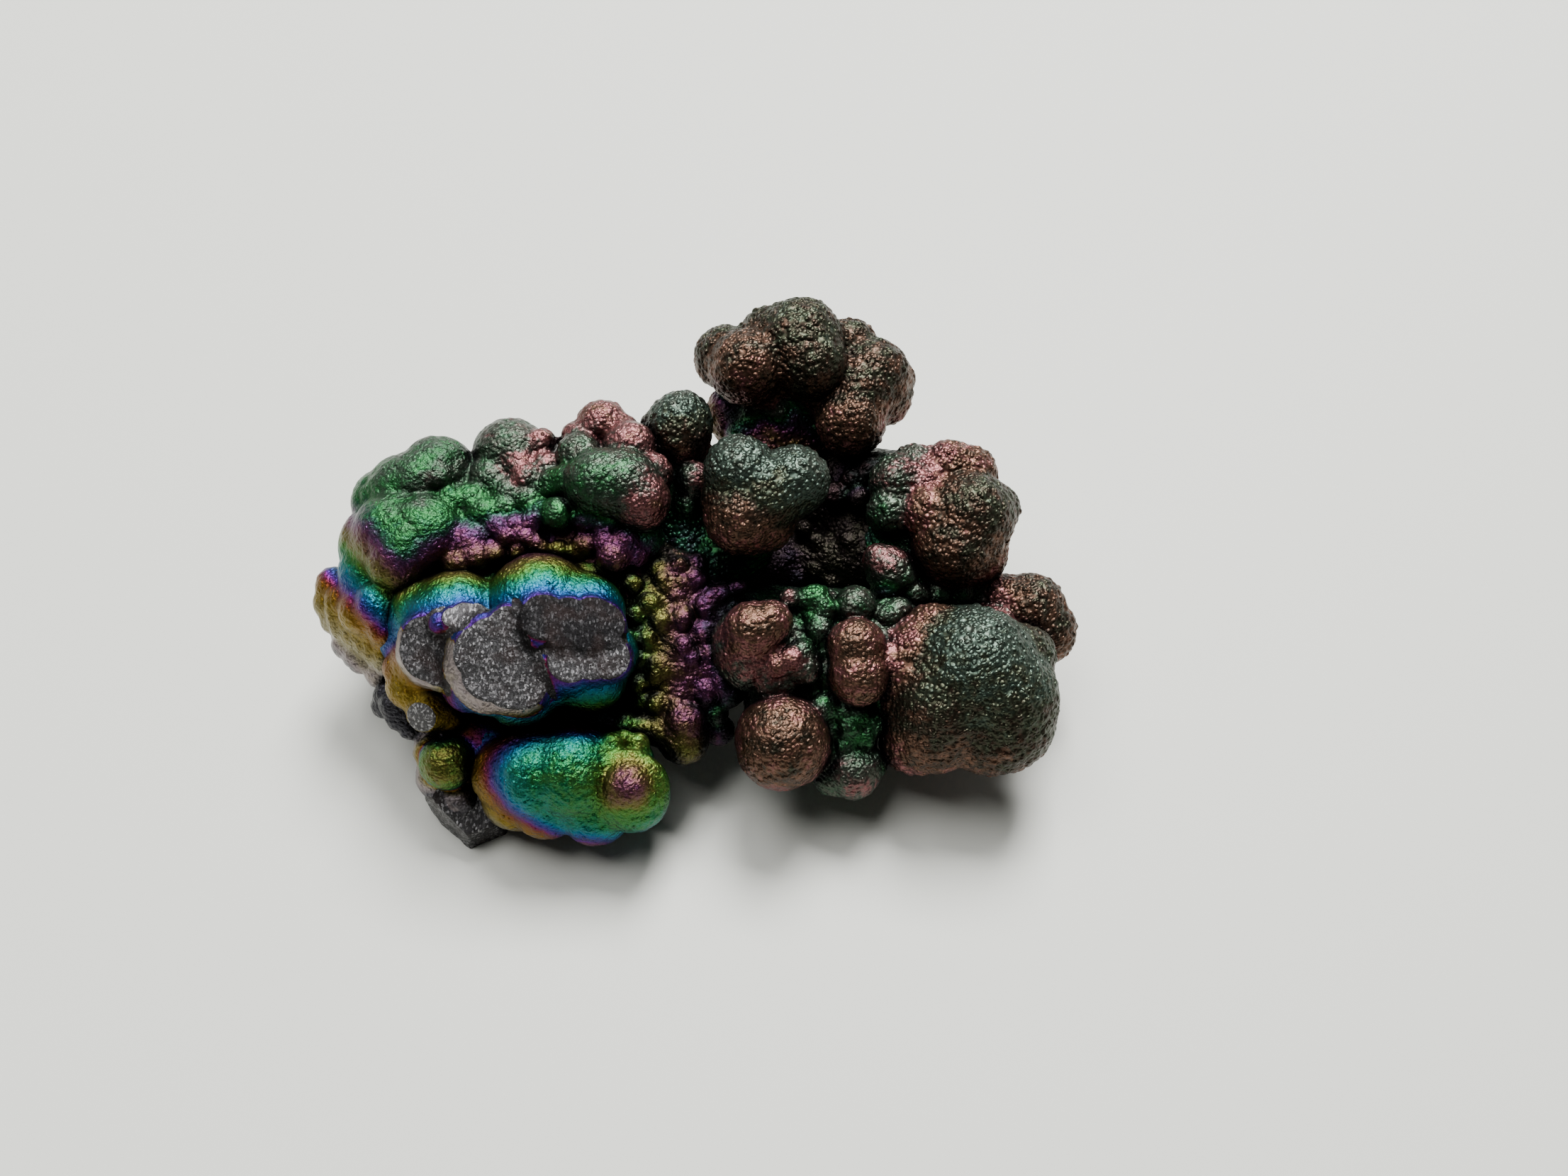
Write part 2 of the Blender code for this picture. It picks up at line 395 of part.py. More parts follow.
def fill_pockets(mesh):
    """Keeps the outer skin alone: a closed skin inside it is an air pocket between growths."""
    bm = bmesh.new()
    bm.from_mesh(mesh)
    left = set(bm.verts)
    skins = []
    while left:
        skin = [left.pop()]
        for vertex in skin:
            near = {edge.other_vert(vertex) for edge in vertex.link_edges} & left
            left -= near
            skin.extend(near)
        skins.append(skin)
    outer = max(skins, key=len)
    inner = [vertex for skin in skins if skin is not outer for vertex in skin]
    bmesh.ops.delete(bm, geom=inner, context="VERTS")
    bm.to_mesh(mesh)
    bm.free()


def roughen(mesh):
    """Moves the skin in and out by low, broad waves, so that no growth is a true ball."""
    mesh.update()
    normals = [vertex.normal.copy() for vertex in mesh.vertices]
    for vertex, normal in zip(mesh.vertices, normals):
        height = noise.noise(vertex.co / (UNEVEN_LENGTH * MM))
        vertex.co += normal * (height * UNEVEN_HEIGHT * MM)


def level_breaks(mesh):
    """Draws the skin beside each break onto its plane, which gives the break a sharp rim."""
    ends = []
    for names, row in BROKEN:
        for name in names:
            ends.append((*break_plane(name), *ball(*row)))
    for vertex in mesh.vertices:
        for place, direction, centre, radius in ends:
            over = (vertex.co - place).dot(direction)
            inside = (vertex.co - centre).length < radius + BREAK_DEPTH * MM
            if abs(over) < BREAK_DEPTH * MM and inside:
                vertex.co -= direction * over
                break


def wear_flat(mesh):
    """Cuts the skin off level at the floor, which leaves flats under the feet."""
    bm = bmesh.new()
    bm.from_mesh(mesh)
    geometry = list(bm.verts) + list(bm.edges) + list(bm.faces)
    bmesh.ops.bisect_plane(bm, geom=geometry, plane_co=(0, 0, 0), plane_no=(0, 0, -1), clear_outer=True)
    close_holes(bm)
    bm.to_mesh(mesh)
    bm.free()


def goethite_material():
    """Dark, half-metallic iron ore."""
    material = bpy.data.materials.new("goethite")
    material.use_nodes = True
    shader = material.node_tree.nodes["Principled BSDF"]
    shader.inputs["Base Color"].default_value = BASE_COLOUR
    shader.inputs["Metallic"].default_value = 0.8
    shader.inputs["Roughness"].default_value = 0.4
    return material


def main():
    for old in list(bpy.data.objects):
        bpy.data.objects.remove(old)
    skin = modified(growths(), "REMESH", mode="VOXEL", voxel_size=SKIN_CELL * MM)
    fill_pockets(skin)
    roughen(skin)
    level_breaks(skin)
    faces = sum(len(polygon.vertices) - 2 for polygon in skin.polygons)
    mesh = modified(skin, "DECIMATE", ratio=SKIN_TRIANGLES / faces)
    wear_flat(mesh)
    mesh.name = "goethite"
    mesh.shade_smooth()
    mesh.set_sharp_from_angle(angle=CREASE_ANGLE)
    mesh.materials.clear()
    mesh.materials.append(goethite_material())
    stone = bpy.data.objects.new("goethite", mesh)
    bpy.context.scene.collection.objects.link(stone)


main()
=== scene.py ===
"""Looks of a hand specimen of iridescent botryoidal goethite, 56 mm long.

Nine sub-assemblies of round growths, each one closed skin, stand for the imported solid: the
domed shoulder, the snapped columns, the rainbow lobe, the neck, the pink knobs, the crown
with its two knobs, the arms at the right, the hollow behind them and the big knob in front.
Each growth is a ball given as it is seen along one line of sight, in millimetres, as in the
part's own source: across, up, out, radius, and then the thickness of the interference film
on it, in nanometres.
"""

import itertools
import logging
import math
from dataclasses import dataclass, field
from enum import Enum
from typing import Any

import bmesh
import bpy
import numpy as np
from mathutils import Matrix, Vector


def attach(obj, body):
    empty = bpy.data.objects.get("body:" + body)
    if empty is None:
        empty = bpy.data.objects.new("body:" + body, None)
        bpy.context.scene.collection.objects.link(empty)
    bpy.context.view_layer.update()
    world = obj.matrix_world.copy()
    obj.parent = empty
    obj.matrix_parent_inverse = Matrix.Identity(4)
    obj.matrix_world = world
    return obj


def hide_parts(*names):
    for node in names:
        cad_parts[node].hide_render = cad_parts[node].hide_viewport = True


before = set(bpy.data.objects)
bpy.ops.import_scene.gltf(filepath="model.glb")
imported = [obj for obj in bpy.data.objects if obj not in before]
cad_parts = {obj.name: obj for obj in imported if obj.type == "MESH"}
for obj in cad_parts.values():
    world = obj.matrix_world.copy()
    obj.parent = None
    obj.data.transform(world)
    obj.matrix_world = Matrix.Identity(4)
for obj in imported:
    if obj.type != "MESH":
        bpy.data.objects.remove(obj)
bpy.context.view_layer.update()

MM = 0.001
LOG = logging.getLogger("goethite")

Ball = tuple[float, float, float, float, float]
Place = tuple[float, float, float]
Parent = tuple[float, float, float, float, int]
Group = tuple[list[Ball], "FilmLaw", float]
Stub = tuple[str, "FilmLaw", Ball]

GOLDEN_ANGLE = math.radians(137.5)
# The random lattices keep their points this share of a cell away from its walls
WALL_SHARE = 0.1
# Each distance in millimetres over which the open air above a place is judged for its painted shade, and
# its weight
SHADE_REACHES = ((0.5, 0.22), (1.3, 0.28), (3.0, 0.28), (6.0, 0.22))
# Distances in millimetres over which neighbours' films and grains run into each other
FILM_BLEND = 0.3
GRAIN_BLEND = 0.4
# Balls further off than these, in millimetres, no longer matter to a place's skin, to its painted
# shade and to whether it is buried
SKIN_REACH = 1.0
SHADE_REACH = 7.0
BURIED_REACH = 0.5
# How far outside a break, in millimetres, its distance is still told apart
BREAK_REACH = 0.3
# A place this near to two breaks is in the crack between them
CRACK_REACH = 0.4
# No ball is ever this far, so it marks one that another stands for
NEVER = 99.0


class FilmLaw(Enum):
    """How the film's thickness runs over a growth."""

    OWN = 0  # its own value, with the sub-assembly's slope through its centre
    DOME = 1  # thicker up the shoulder's dome and inward from the left edge
    ENDS = 2  # thicker away from the snapped ends
    LOBE = 3  # thicker from the rim to the crest of the rainbow lobe


@dataclass(frozen=True)
class Sight:
    """The line of sight that the growths are placed along."""

    slope: float = math.radians(55.0)
    eye_distance: float = 95.0
    height: float = 11.6
    middle_across: float = -6.26
    middle_depth: float = 3.3

    def place(self, seen: np.ndarray) -> np.ndarray:
        """Places in the row frame, in millimetres.

        Args:
            seen: one row of across, up and out for each place.

        Returns:
            One row of x, y and z for each place.
        """
        nearer = (self.eye_distance - seen[:, 2]) / self.eye_distance
        across = seen[:, 0] * nearer
        up = seen[:, 1] * nearer
        depth = up * math.sin(self.slope) - seen[:, 2] * math.cos(self.slope)
        height = up * math.cos(self.slope) + seen[:, 2] * math.sin(self.slope) + self.height
        return np.stack([across - self.middle_across, depth - self.middle_depth, height], 1)

    def seen(self, places: np.ndarray) -> np.ndarray:
        """The reverse of place().

        Args:
            places: one row of x, y and z for each place, in millimetres.

        Returns:
            One row of across, up and out for each place.
        """
        across = places[:, 0] + self.middle_across
        depth = places[:, 1] + self.middle_depth
        height = places[:, 2] - self.height
        up = depth * math.sin(self.slope) + height * math.cos(self.slope)
        out = height * math.sin(self.slope) - depth * math.cos(self.slope)
        nearer = (self.eye_distance - out) / self.eye_distance
        return np.stack([across / nearer, up / nearer, out], 1)

    def facing(self, point: Place, direction: Place) -> tuple[np.ndarray, np.ndarray]:
        """A point and a direction given along the sight, in the row frame.

        Args:
            point: the point as across, up and out.
            direction: the direction from it, in the same way.

        Returns:
            The point in millimetres, and the direction with a length of 1.
        """
        ends = np.array([point, point])
        ends[1] += np.array(direction) * 0.01
        here, there = self.place(ends)
        return here, (there - here) / np.linalg.norm(there - here)

    def radii(self, balls: np.ndarray) -> np.ndarray:
        """True radii in millimetres of rows of across, up, out and radius."""
        return balls[:, 3] * (self.eye_distance - balls[:, 2]) / self.eye_distance


SIGHT = Sight()


def linear(code: str) -> tuple[float, float, float, float]:
    """Turns an sRGB colour into a linear one.

    Args:
        code: the colour as hex, such as "#8d8a8c".

    Returns:
        Linear red, green, blue and alpha.
    """
    parts = [int(code[i : i + 2], 16) / 255 for i in (1, 3, 5)]
    parts = [c / 12.92 if c <= 0.04045 else ((c + 0.055) / 1.055) ** 2.4 for c in parts]
    return (*parts, 1.0)


def hashed(cells: np.ndarray, seed: int) -> list[np.ndarray]:
    """Three even random numbers from 0 to 1 for each cell of a lattice.

    Args:
        cells: whole-number rows of x, y and z.
        seed: picks one of many such patterns.

    Returns:
        Three arrays, each with one number for each cell.
    """
    spread = np.array([73856093, 19349663, 83492791], np.uint32)
    mixed = (cells.astype(np.uint32) * spread).sum(1, dtype=np.uint32) + np.uint32(seed * 2654435 + 12345)
    found = []
    for _ in range(3):
        mixed ^= mixed >> np.uint32(15)
        mixed *= np.uint32(2246822519)
        mixed ^= mixed >> np.uint32(13)
        mixed *= np.uint32(3266489917)
        mixed ^= mixed >> np.uint32(16)
        found.append(mixed / 4294967295.0)
    return found


def caps(places: np.ndarray, size: float, seed: int, reach: float = 0.6) -> np.ndarray:
    """Round caps over a surface, as small growths sit on a larger one.

    Args:
        places: rows of x, y and z, in millimetres.
        size: the usual distance between two caps, in millimetres.
        seed: picks one of many such patterns.
        reach: the square of a cap's radius, as a share of size.

    Returns:
        Heights from 0 in the creases to 1 on the crests.
    """
    spots = places / size
    base = np.floor(spots).astype(np.int64)
    nearest = np.full(len(spots), 9.0)
    for step in itertools.product((-1, 0, 1), repeat=3):
        cell = base + np.array(step)
        parts = enumerate(hashed(cell, seed))
        gap = sum((cell[:, axis] + WALL_SHARE + (1 - 2 * WALL_SHARE) * part - spots[:, axis]) ** 2
                  for axis, part in parts)
        nearest = np.minimum(nearest, gap)
    return np.sqrt(np.clip(1 - nearest / reach, 0, 1))


def waves(places: np.ndarray, size: float, seed: int) -> np.ndarray:
    """Smooth random swells from -1 to 1.

    Args:
        places: rows of x, y and z, in millimetres.
        size: the usual distance between two swells, in millimetres.
        seed: picks one of many such patterns.

    Returns:
        One height for each place.
    """
    spots = places / size
    base = np.floor(spots).astype(np.int64)
    share = spots - base
    share = share * share * (3 - 2 * share)
    total = np.zeros(len(spots))
    for step in itertools.product((0, 1), repeat=3):
        corner = np.array(step)
        weight = np.where(corner == 1, share, 1 - share).prod(1)
        total += weight * hashed(base + corner, seed)[0]
    return total * 2 - 1


def add(tree: bpy.types.NodeTree, kind: str, settings: dict[str, Any] | None = None, **links: Any) -> Any:
    """Adds a node.

    Args:
        tree: the node tree to add it to.
        kind: the node's type name without "ShaderNode".
        settings: the node's own properties.
        links: input names, with _ for a space, or in0, in1 for inputs by number. Each holds
            an output to link or a value to set.

    Returns:
        The new node.
    """
    made = tree.nodes.new("ShaderNode" + kind)
    for name, value in (settings or {}).items():
        setattr(made, name, value)
    for name, value in links.items():
        socket = made.inputs[int(name[2:])] if name[2:].isdigit() else made.inputs[name.replace("_", " ")]
        if isinstance(value, bpy.types.NodeSocket):
            tree.links.new(value, socket)
        else:
            socket.default_value = value
    return made


def blank(name: str) -> tuple[bpy.types.Material, bpy.types.NodeTree]:
    """Makes a material with an empty node tree.

    Args:
        name: the material's name.

    Returns:
        The material and its tree.
    """
    made = bpy.data.materials.new(name)
    made.use_nodes = True
    made.node_tree.nodes.clear()
    return made, made.node_tree


@dataclass
class Surface:
    """The sockets of one finish: its colour, roughness and relief in millimetres."""

    colour: bpy.types.NodeSocket
    rough: bpy.types.NodeSocket
    relief: bpy.types.NodeSocket


@dataclass(frozen=True)
class FilmedSkin:
    """Goethite's own skin: grown in water as packed needles, under a film that splits light.

    The eye sees a dark satin metal whose colour runs through the rainbow as the film
    thickens, and then dulls to greens and pinks. Smooth where it grew slowly, it is cobbled
    with granules about 0.3 mm wide where it grew fast. Its crevices get painted shade, near black.
    """

    # Film thickness in nm against the colour that it gives
    orders: tuple[tuple[float, str], ...] = (
        (-200, "#222126"), (-60, "#323136"), (40, "#565357"), (130, "#8a7f7f"), (230, "#7d7657"),
        (320, "#74621a"), (410, "#6f4c12"), (470, "#662b1e"), (520, "#621a4a"), (560, "#4a1870"),
        (610, "#2a2a6c"), (660, "#1b4678"), (710, "#156276"), (770, "#0e675a"), (820, "#176037"),
        (880, "#3d6a28"), (940, "#5a5b26"), (1000, "#584a2a"), (1050, "#573837"), (1110, "#552a48"),
        (1160, "#452a4a"), (1210, "#323a40"), (1260, "#1f4734"), (1320, "#255d31"), (1410, "#344838"),
        (1490, "#474740"), (1560, "#774a4b"), (1630, "#5d4436"), (1700, "#322a22"), (1760, "#383c2e"),
        (1830, "#3d4b42"), (1900, "#3a3f37"),
    )
    thinnest: float = -200.0
    thickest: float = 1900.0
    # Growth was uneven, so the film wanders by this many nm over patches this wide in mm
    wander: float = 125.0
    patch: float = 1.2
    speckle: float = 50.0
    speckle_size: float = 0.3
    # Thin films are the most even, with this share of the wander
    even_below: float = 700.0
    uneven_above: float = 1400.0
    even_share: float = 0.35
    # Distances between granules, between the few that stand out, and between ripples, in mm
    granule: float = 0.34
    granule_height: float = 0.085
    speck: float = 0.8
    speck_height: float = 0.09
    ripple: float = 0.2
    ripple_height: float = 0.2
    # Painted shade leaves a crevice this share of its colour, mixed towards a near-black colour
    crevice_shade: float = 0.08
    crevice_shade_colour: str = "#0d0d10"
    # The painted shade at which a place is still unshaded, and at which it has a crevice's full painted
    # shade
    unshaded_limit: float = 0.26
    full_shade_limit: float = 0.86
    # Roughness where it grew slowly, as satin, and where it is cobbled with granules
    satin: float = 0.27
    cobbled: float = 0.4
    least_cobbles: float = 0.35

    def surface(self, tree: bpy.types.NodeTree, where: bpy.types.NodeSocket) -> Surface:
        """Adds the finish's nodes to a tree.

        Args:
            tree: the node tree.
            where: the places on the specimen.

        Returns:
            The finish's sockets.
        """
        film = add(tree, "Attribute", {"attribute_name": "film"}).outputs["Fac"]
        grain = add(tree, "Attribute", {"attribute_name": "grain"}).outputs["Fac"]
        painted_shade = add(tree, "Attribute", {"attribute_name": "painted_shade"}).outputs["Fac"]
        wide = add(tree, "TexNoise", Vector=where, Scale=1 / (self.patch * MM), Detail=2.0)
        fine = add(tree, "TexNoise", Vector=where, Scale=1 / (self.speckle_size * MM), Detail=1.0)
        wide_nm = add(tree, "Math", {"operation": "MULTIPLY_ADD"}, in0=wide.outputs["Fac"],
                      in1=2 * self.wander, in2=-self.wander)
        fine_nm = add(tree, "Math", {"operation": "MULTIPLY_ADD"}, in0=fine.outputs["Fac"],
                      in1=2 * self.speckle, in2=-self.speckle)
        uneven = add(tree, "Math", {"operation": "ADD"}, in0=wide_nm.outputs[0], in1=fine_nm.outputs[0])
        spread = add(tree, "MapRange", in0=film, in1=self.even_below, in2=self.uneven_above,
                     in3=self.even_share, in4=1.0)
        uneven = add(tree, "Math", {"operation": "MULTIPLY"}, in0=uneven.outputs[0], in1=spread.outputs[0])
        depth = add(tree, "Math", {"operation": "ADD"}, in0=film, in1=uneven.outputs[0])
        along = add(tree, "MapRange", in0=depth.outputs[0], in1=self.thinnest, in2=self.thickest)
        ramp = add(tree, "ValToRGB", Fac=along.outputs[0])
        self.fill(ramp.color_ramp)
        # Painted shade: places that lose open air to the growths around go dark, crevices near black
        unshaded_share = add(tree, "MapRange", in0=painted_shade, in1=self.unshaded_limit, in2=self.full_shade_limit,
                       in3=1.0, in4=self.crevice_shade)
        colour = add(tree, "Mix", {"data_type": "RGBA"}, in0=unshaded_share.outputs[0],
                     in6=linear(self.crevice_shade_colour), in7=ramp.outputs[0])
        cap = self.bumps(tree, where, self.granule, 0.6, self.granule_height)
        speck = self.bumps(tree, where, self.speck, 0.2, self.speck_height)
        cobbles = add(tree, "Math", {"operation": "ADD"}, in0=cap, in1=speck)
        silk = add(tree, "TexNoise", Vector=where, Scale=1 / (self.ripple * MM), Detail=3.0, Roughness=0.6)
        ripples = add(tree, "Math", {"operation": "MULTIPLY_ADD"}, in0=silk.outputs["Fac"],
                      in1=self.ripple_height, in2=speck)
        cobbled = add(tree, "MapRange", in0=grain, in3=self.least_cobbles, in4=1.0)
        relief = add(tree, "Mix", {"data_type": "FLOAT"}, in0=cobbled.outputs[0], in2=ripples.outputs[0],
                     in3=cobbles.outputs[0])
        rough = add(tree, "MapRange", in0=grain, in3=self.satin, in4=self.cobbled)
        return Surface(colour.outputs[2], rough.outputs[0], relief.outputs[0])

    @staticmethod
    def bumps(tree: bpy.types.NodeTree, where: bpy.types.NodeSocket, apart: float, reach: float,
              height: float) -> bpy.types.NodeSocket:
        """Round bumps over the skin.

        Args:
            tree: the node tree.
            where: the places.
            apart: the usual distance between two bumps, in millimetres.
            reach: a bump's radius as a share of that distance.
            height: a bump's height in millimetres.

        Returns:
            The relief in millimetres.
        """
        spots = add(tree, "TexVoronoi", {"feature": "F1"}, Vector=where, Scale=1 / (apart * MM),
                    Randomness=0.85)
        square = add(tree, "Math", {"operation": "POWER"}, in0=spots.outputs["Distance"], in1=2.0)
        rise = add(tree, "Math", {"operation": "MULTIPLY_ADD"}, in0=square.outputs[0],
                   in1=-height / reach**2, in2=height)
        return add(tree, "Math", {"operation": "MAXIMUM"}, in0=rise.outputs[0], in1=0.0).outputs[0]

    def fill(self, ramp: bpy.types.ColorRamp) -> None:
        """Puts the orders' colours on a ramp.

        Args:
            ramp: the ramp, which runs from the thinnest film to the thickest.
        """
        span = self.thickest - self.thinnest
        for number, (thickness, code) in enumerate(self.orders):
            at = (thickness - self.thinnest) / span
            stop = ramp.elements[number] if number < 2 else ramp.elements.new(at)
            stop.position = at
            stop.color = linear(code)


@dataclass(frozen=True)
class FreshFracture:
    """The inside of goethite, snapped: packed needles seen end on.

    The eye sees a bare grey metal that sparkles where many needle ends face the light, and
    is dull and brownish where they lie across it. The sparkle is painted into the colour as
    pale glints, and each break's paleness is partly its own grey and partly painted sheen.
    """

    dark: str = "#141314"
    pale: str = "#aaa8aa"
    stain: str = "#2f2422"
    stain_size: float = 1.6
    stain_share: float = 0.55
    # A bundle of needles, in mm across; they lie twice as long as they are wide
    needle: float = 0.11
    needle_height: float = 0.1
    lean: float = 0.7
    # The higher the power, the fewer the bundles painted pale as glints; how bright these painted glints
    # are
    painted_glint_power: float = 5.0
    painted_glint: float = 4.0

    def surface(self, tree: bpy.types.NodeTree, where: bpy.types.NodeSocket) -> Surface:
        """Adds the finish's nodes to a tree.

        Args:
            tree: the node tree.
            where: the places on the specimen.

        Returns:
            The finish's sockets.
        """
        # How pale the break is: its own grey and painted sheen
        tone = add(tree, "Attribute", {"attribute_name": "tone"}).outputs["Fac"]
        leaning = add(tree, "Mapping", Vector=where, Rotation=(0.0, 0.0, self.lean),
                      Scale=(1.0, 0.5, 1.0))
        ends = add(tree, "TexVoronoi", {"feature": "F1"}, Vector=leaning.outputs[0],
                   Scale=1 / (self.needle * MM))
        tint = add(tree, "SeparateColor", in0=ends.outputs["Color"])
        # Painted glints: a few needle bundles made pale in the colour, more of them on paler breaks
        few = add(tree, "Math", {"operation": "POWER"}, in0=tint.outputs[0], in1=self.painted_glint_power)
        painted_glint = add(tree, "Math", {"operation": "MULTIPLY"}, in0=few.outputs[0], in1=tone)
        lifted = add(tree, "Math", {"operation": "MULTIPLY_ADD"}, in0=painted_glint.outputs[0], in1=self.painted_glint,
                     in2=-0.02)
        shade = add(tree, "Math", {"operation": "MULTIPLY_ADD", "use_clamp": True}, in0=tone, in1=0.5,
                    in2=lifted.outputs[0])
        grey = add(tree, "Mix", {"data_type": "RGBA"}, in0=shade.outputs[0],
                   in6=linear(self.dark), in7=linear(self.pale))
        patches = add(tree, "TexNoise", Vector=where, Scale=1 / (self.stain_size * MM), Detail=2.0)
        share = add(tree, "MapRange", in0=patches.outputs["Fac"], in1=0.48, in2=0.66,
                    in4=self.stain_share)
        colour = add(tree, "Mix", {"data_type": "RGBA"}, in0=share.outputs[0],
                     in6=grey.outputs[2], in7=linear(self.stain))
        tilt = add(tree, "TexNoise", Vector=where, Scale=1 / (self.needle * MM), Detail=3.0, Roughness=0.7)
        height = add(tree, "Math", {"operation": "ADD"}, in0=tilt.outputs["Fac"], in1=tint.outputs[1])
        relief = add(tree, "Math", {"operation": "MULTIPLY"}, in0=height.outputs[0], in1=self.needle_height)
        rough = add(tree, "MapRange", in0=tint.outputs[2], in3=0.25, in4=0.45)
        return Surface(colour.outputs[2], rough.outputs[0], relief.outputs[0])


@dataclass(frozen=True)
class Goethite:
    """The specimen's one material: filmed skin, and fresh fracture where it was snapped."""

    skin: FilmedSkin = FilmedSkin()
    fracture: FreshFracture = FreshFracture()
    metallic: float = 0.9

    def material(self) -> bpy.types.Material:
        """Makes the material of the two finishes, parted by the attribute "snap".

        Returns:
            The material.
        """
        made, tree = blank("iridescent_goethite")
        where = add(tree, "TexCoord").outputs["Object"]
        snap = add(tree, "Attribute", {"attribute_name": "snap"}).outputs["Fac"]
        on_break = add(tree, "MapRange", in0=snap, in1=-0.01, in2=0.01).outputs[0]
        skin, fracture = self.skin.surface(tree, where), self.fracture.surface(tree, where)
        colour = add(tree, "Mix", {"data_type": "RGBA"}, in0=on_break, in6=skin.colour, in7=fracture.colour)
        rough = add(tree, "Mix", {"data_type": "FLOAT"}, in0=on_break, in2=skin.rough, in3=fracture.rough)
        relief = add(tree, "Mix", {"data_type": "FLOAT"}, in0=on_break, in2=skin.relief,
                     in3=fracture.relief)
        bump = add(tree, "Bump", Height=relief.outputs[0], Distance=MM)
        shader = add(tree, "BsdfPrincipled", Base_Color=colour.outputs[2], Roughness=rough.outputs[0],
                     Normal=bump.outputs[0], Metallic=self.metallic)
        add(tree, "OutputMaterial", Surface=shader.outputs[0])
        return made


@dataclass
class Break:
    """A flat break: its faces as points and directions, how pale it is, partly its own grey and partly
    painted sheen, and its bare rim.

    The rim is the width in millimetres of the filmless skin below the break's lower left.
    """

    faces: list[tuple[Place, Place]]
    tone: float
    rim: float = 0.0
    planes: list[tuple[np.ndarray, np.ndarray]] = field(init=False)

    def __post_init__(self) -> None:
        """Turns the faces into the row frame."""
        self.planes = [SIGHT.facing(point, direction) for point, direction in self.faces]


BLOCK_TOP: tuple[Place, Place] = ((-22.2, -15.8, 0.4), (0.12, 0.16, 0.98))
BLOCK_LEFT: tuple[Place, Place] = ((-23.6, -16.6, -0.4), (-0.66, -0.62, 0.42))
BLOCK_FRONT: tuple[Place, Place] = ((-21.0, -17.5, -0.6), (0.30, -0.84, 0.45))
BLOCK_END: tuple[Place, Place] = ((-20.0, -16.9, -0.8), (0.80, -0.30, 0.30))
# How pale each break is mixes its own grey with painted sheen, pale where it faces the light
BREAKS: dict[str, Break] = {
    "left": Break([((-25.4, -4.5, 5.3), (-0.26, -0.06, 0.96))], 0.15, 1.2),
    "chip": Break([((-22.8, -2.0, 5.95), (-0.08, 0.34, 0.94))], 0.5),
    "sparkling": Break([((-20.0, -5.4, 6.3), (-0.03, -0.08, 0.99))], 0.2, 1.3),
    "dark": Break([((-15.4, -2.2, 5.75), (0.08, 0.20, 0.97))], 0.06),
    "pale": Break([((-14.2, -4.9, 5.8), (0.05, 0.02, 0.99))], 0.22),
    "round": Break([((-25.6, -9.15, 3.1), (-0.42, -0.32, 0.85))], 0.42),
    "block": Break([BLOCK_TOP, BLOCK_LEFT, BLOCK_FRONT, BLOCK_END], 0.2),
}
BREAK_NAMES = list(BREAKS)
DOWN_LEFT = SIGHT.facing((-22.0, -6.0, 5.0), (-0.6, -0.8, 0.0))[1]


def stub(name: str, across: float, up: float, disc: float, radius: float) -> Stub:
    """A ball that its break's first face cuts to a disc.

    Args:
        name: the break.
        across: the disc's middle as seen across.
        up: the disc's middle as seen up.
        disc: the disc's radius.
        radius: the ball's radius.

    Returns:
        The break's name, the film law of the snapped ends and the ball.
    """
    (at_across, at_up, at_out), facing = BREAKS[name].faces[0]
    facing = np.array(facing) / np.linalg.norm(facing)
    out = at_out - (facing[0] * (across - at_across) + facing[1] * (up - at_up)) / facing[2]
    middle = np.array([across, up, out]) - facing * math.sqrt(radius**2 - disc**2)
    return name, FilmLaw.ENDS, (*middle.tolist(), radius, 0)


def chain(row: list[Ball], step: float = 0.4) -> list[Ball]:
    """Balls along a line of growths, close enough together to make one smooth limb.

    Args:
        row: the growths that the limb runs through.
        step: the distance between two balls, as a share of the smaller radius.

    Returns:
        The balls from end to end.
    """
    balls = []
    for start, end in zip(row, row[1:]):
        count = max(1, math.ceil(math.dist(start[:3], end[:3]) / (step * min(start[3], end[3]))))
        for number in range(count + 1):
            share = number / count
            balls.append(tuple(a + (b - a) * share for a, b in zip(start, end)))
    return balls


def beads(parents: list[Parent]) -> list[Ball]:
    """Small beads spread evenly over the near side of each parent, by the golden angle.

    Args:
        parents: rows of across, up, out, radius and the number of beads.

    Returns:
        The beads, with the film that growths in their place have.
    """
    balls = []
    for across, up, out, radius, count in parents:
        for number in range(count):
            front = 0.98 - 0.75 * number / count
            side = math.sqrt(1 - front * front)
            turn = number * GOLDEN_ANGLE + up * 2
            size = 0.52 + 0.14 * math.sin(number * 2.9 + across)
            place = (across + radius * side * math.cos(turn), up + radius * side * math.sin(turn))
            film = float(np.interp(place[0], *zip(*NECK_THICKENING))) + 60 * math.sin(number * 1.9)
            balls.append((*place, out + radius * front - 0.1, size, film))
    return balls


def buds(parents: list[Parent], film: float) -> list[Ball]:
    """Lumps spread evenly over the far half of each parent, by the golden angle.

    Args:
        parents: rows of across, up, out, radius and the number of lumps.
        film: the lumps' film thickness in nanometres.

    Returns:
        The lumps.
    """
    balls = []
    for across, up, out, radius, count in parents:
        for number in range(count):
            back = -0.25 - 0.72 * (number + 0.5) / count
            side = math.sqrt(1 - back * back)
            turn = number * GOLDEN_ANGLE + across
            reach = radius * 0.74
            size = radius * 0.36 * (1.0 + 0.2 * math.sin(number * 2.3 + up))
            balls.append((across + reach * side * math.cos(turn), up + reach * side * math.sin(turn),
                          out + reach * back, size, film + 90 * math.sin(number * 1.7)))
    return balls


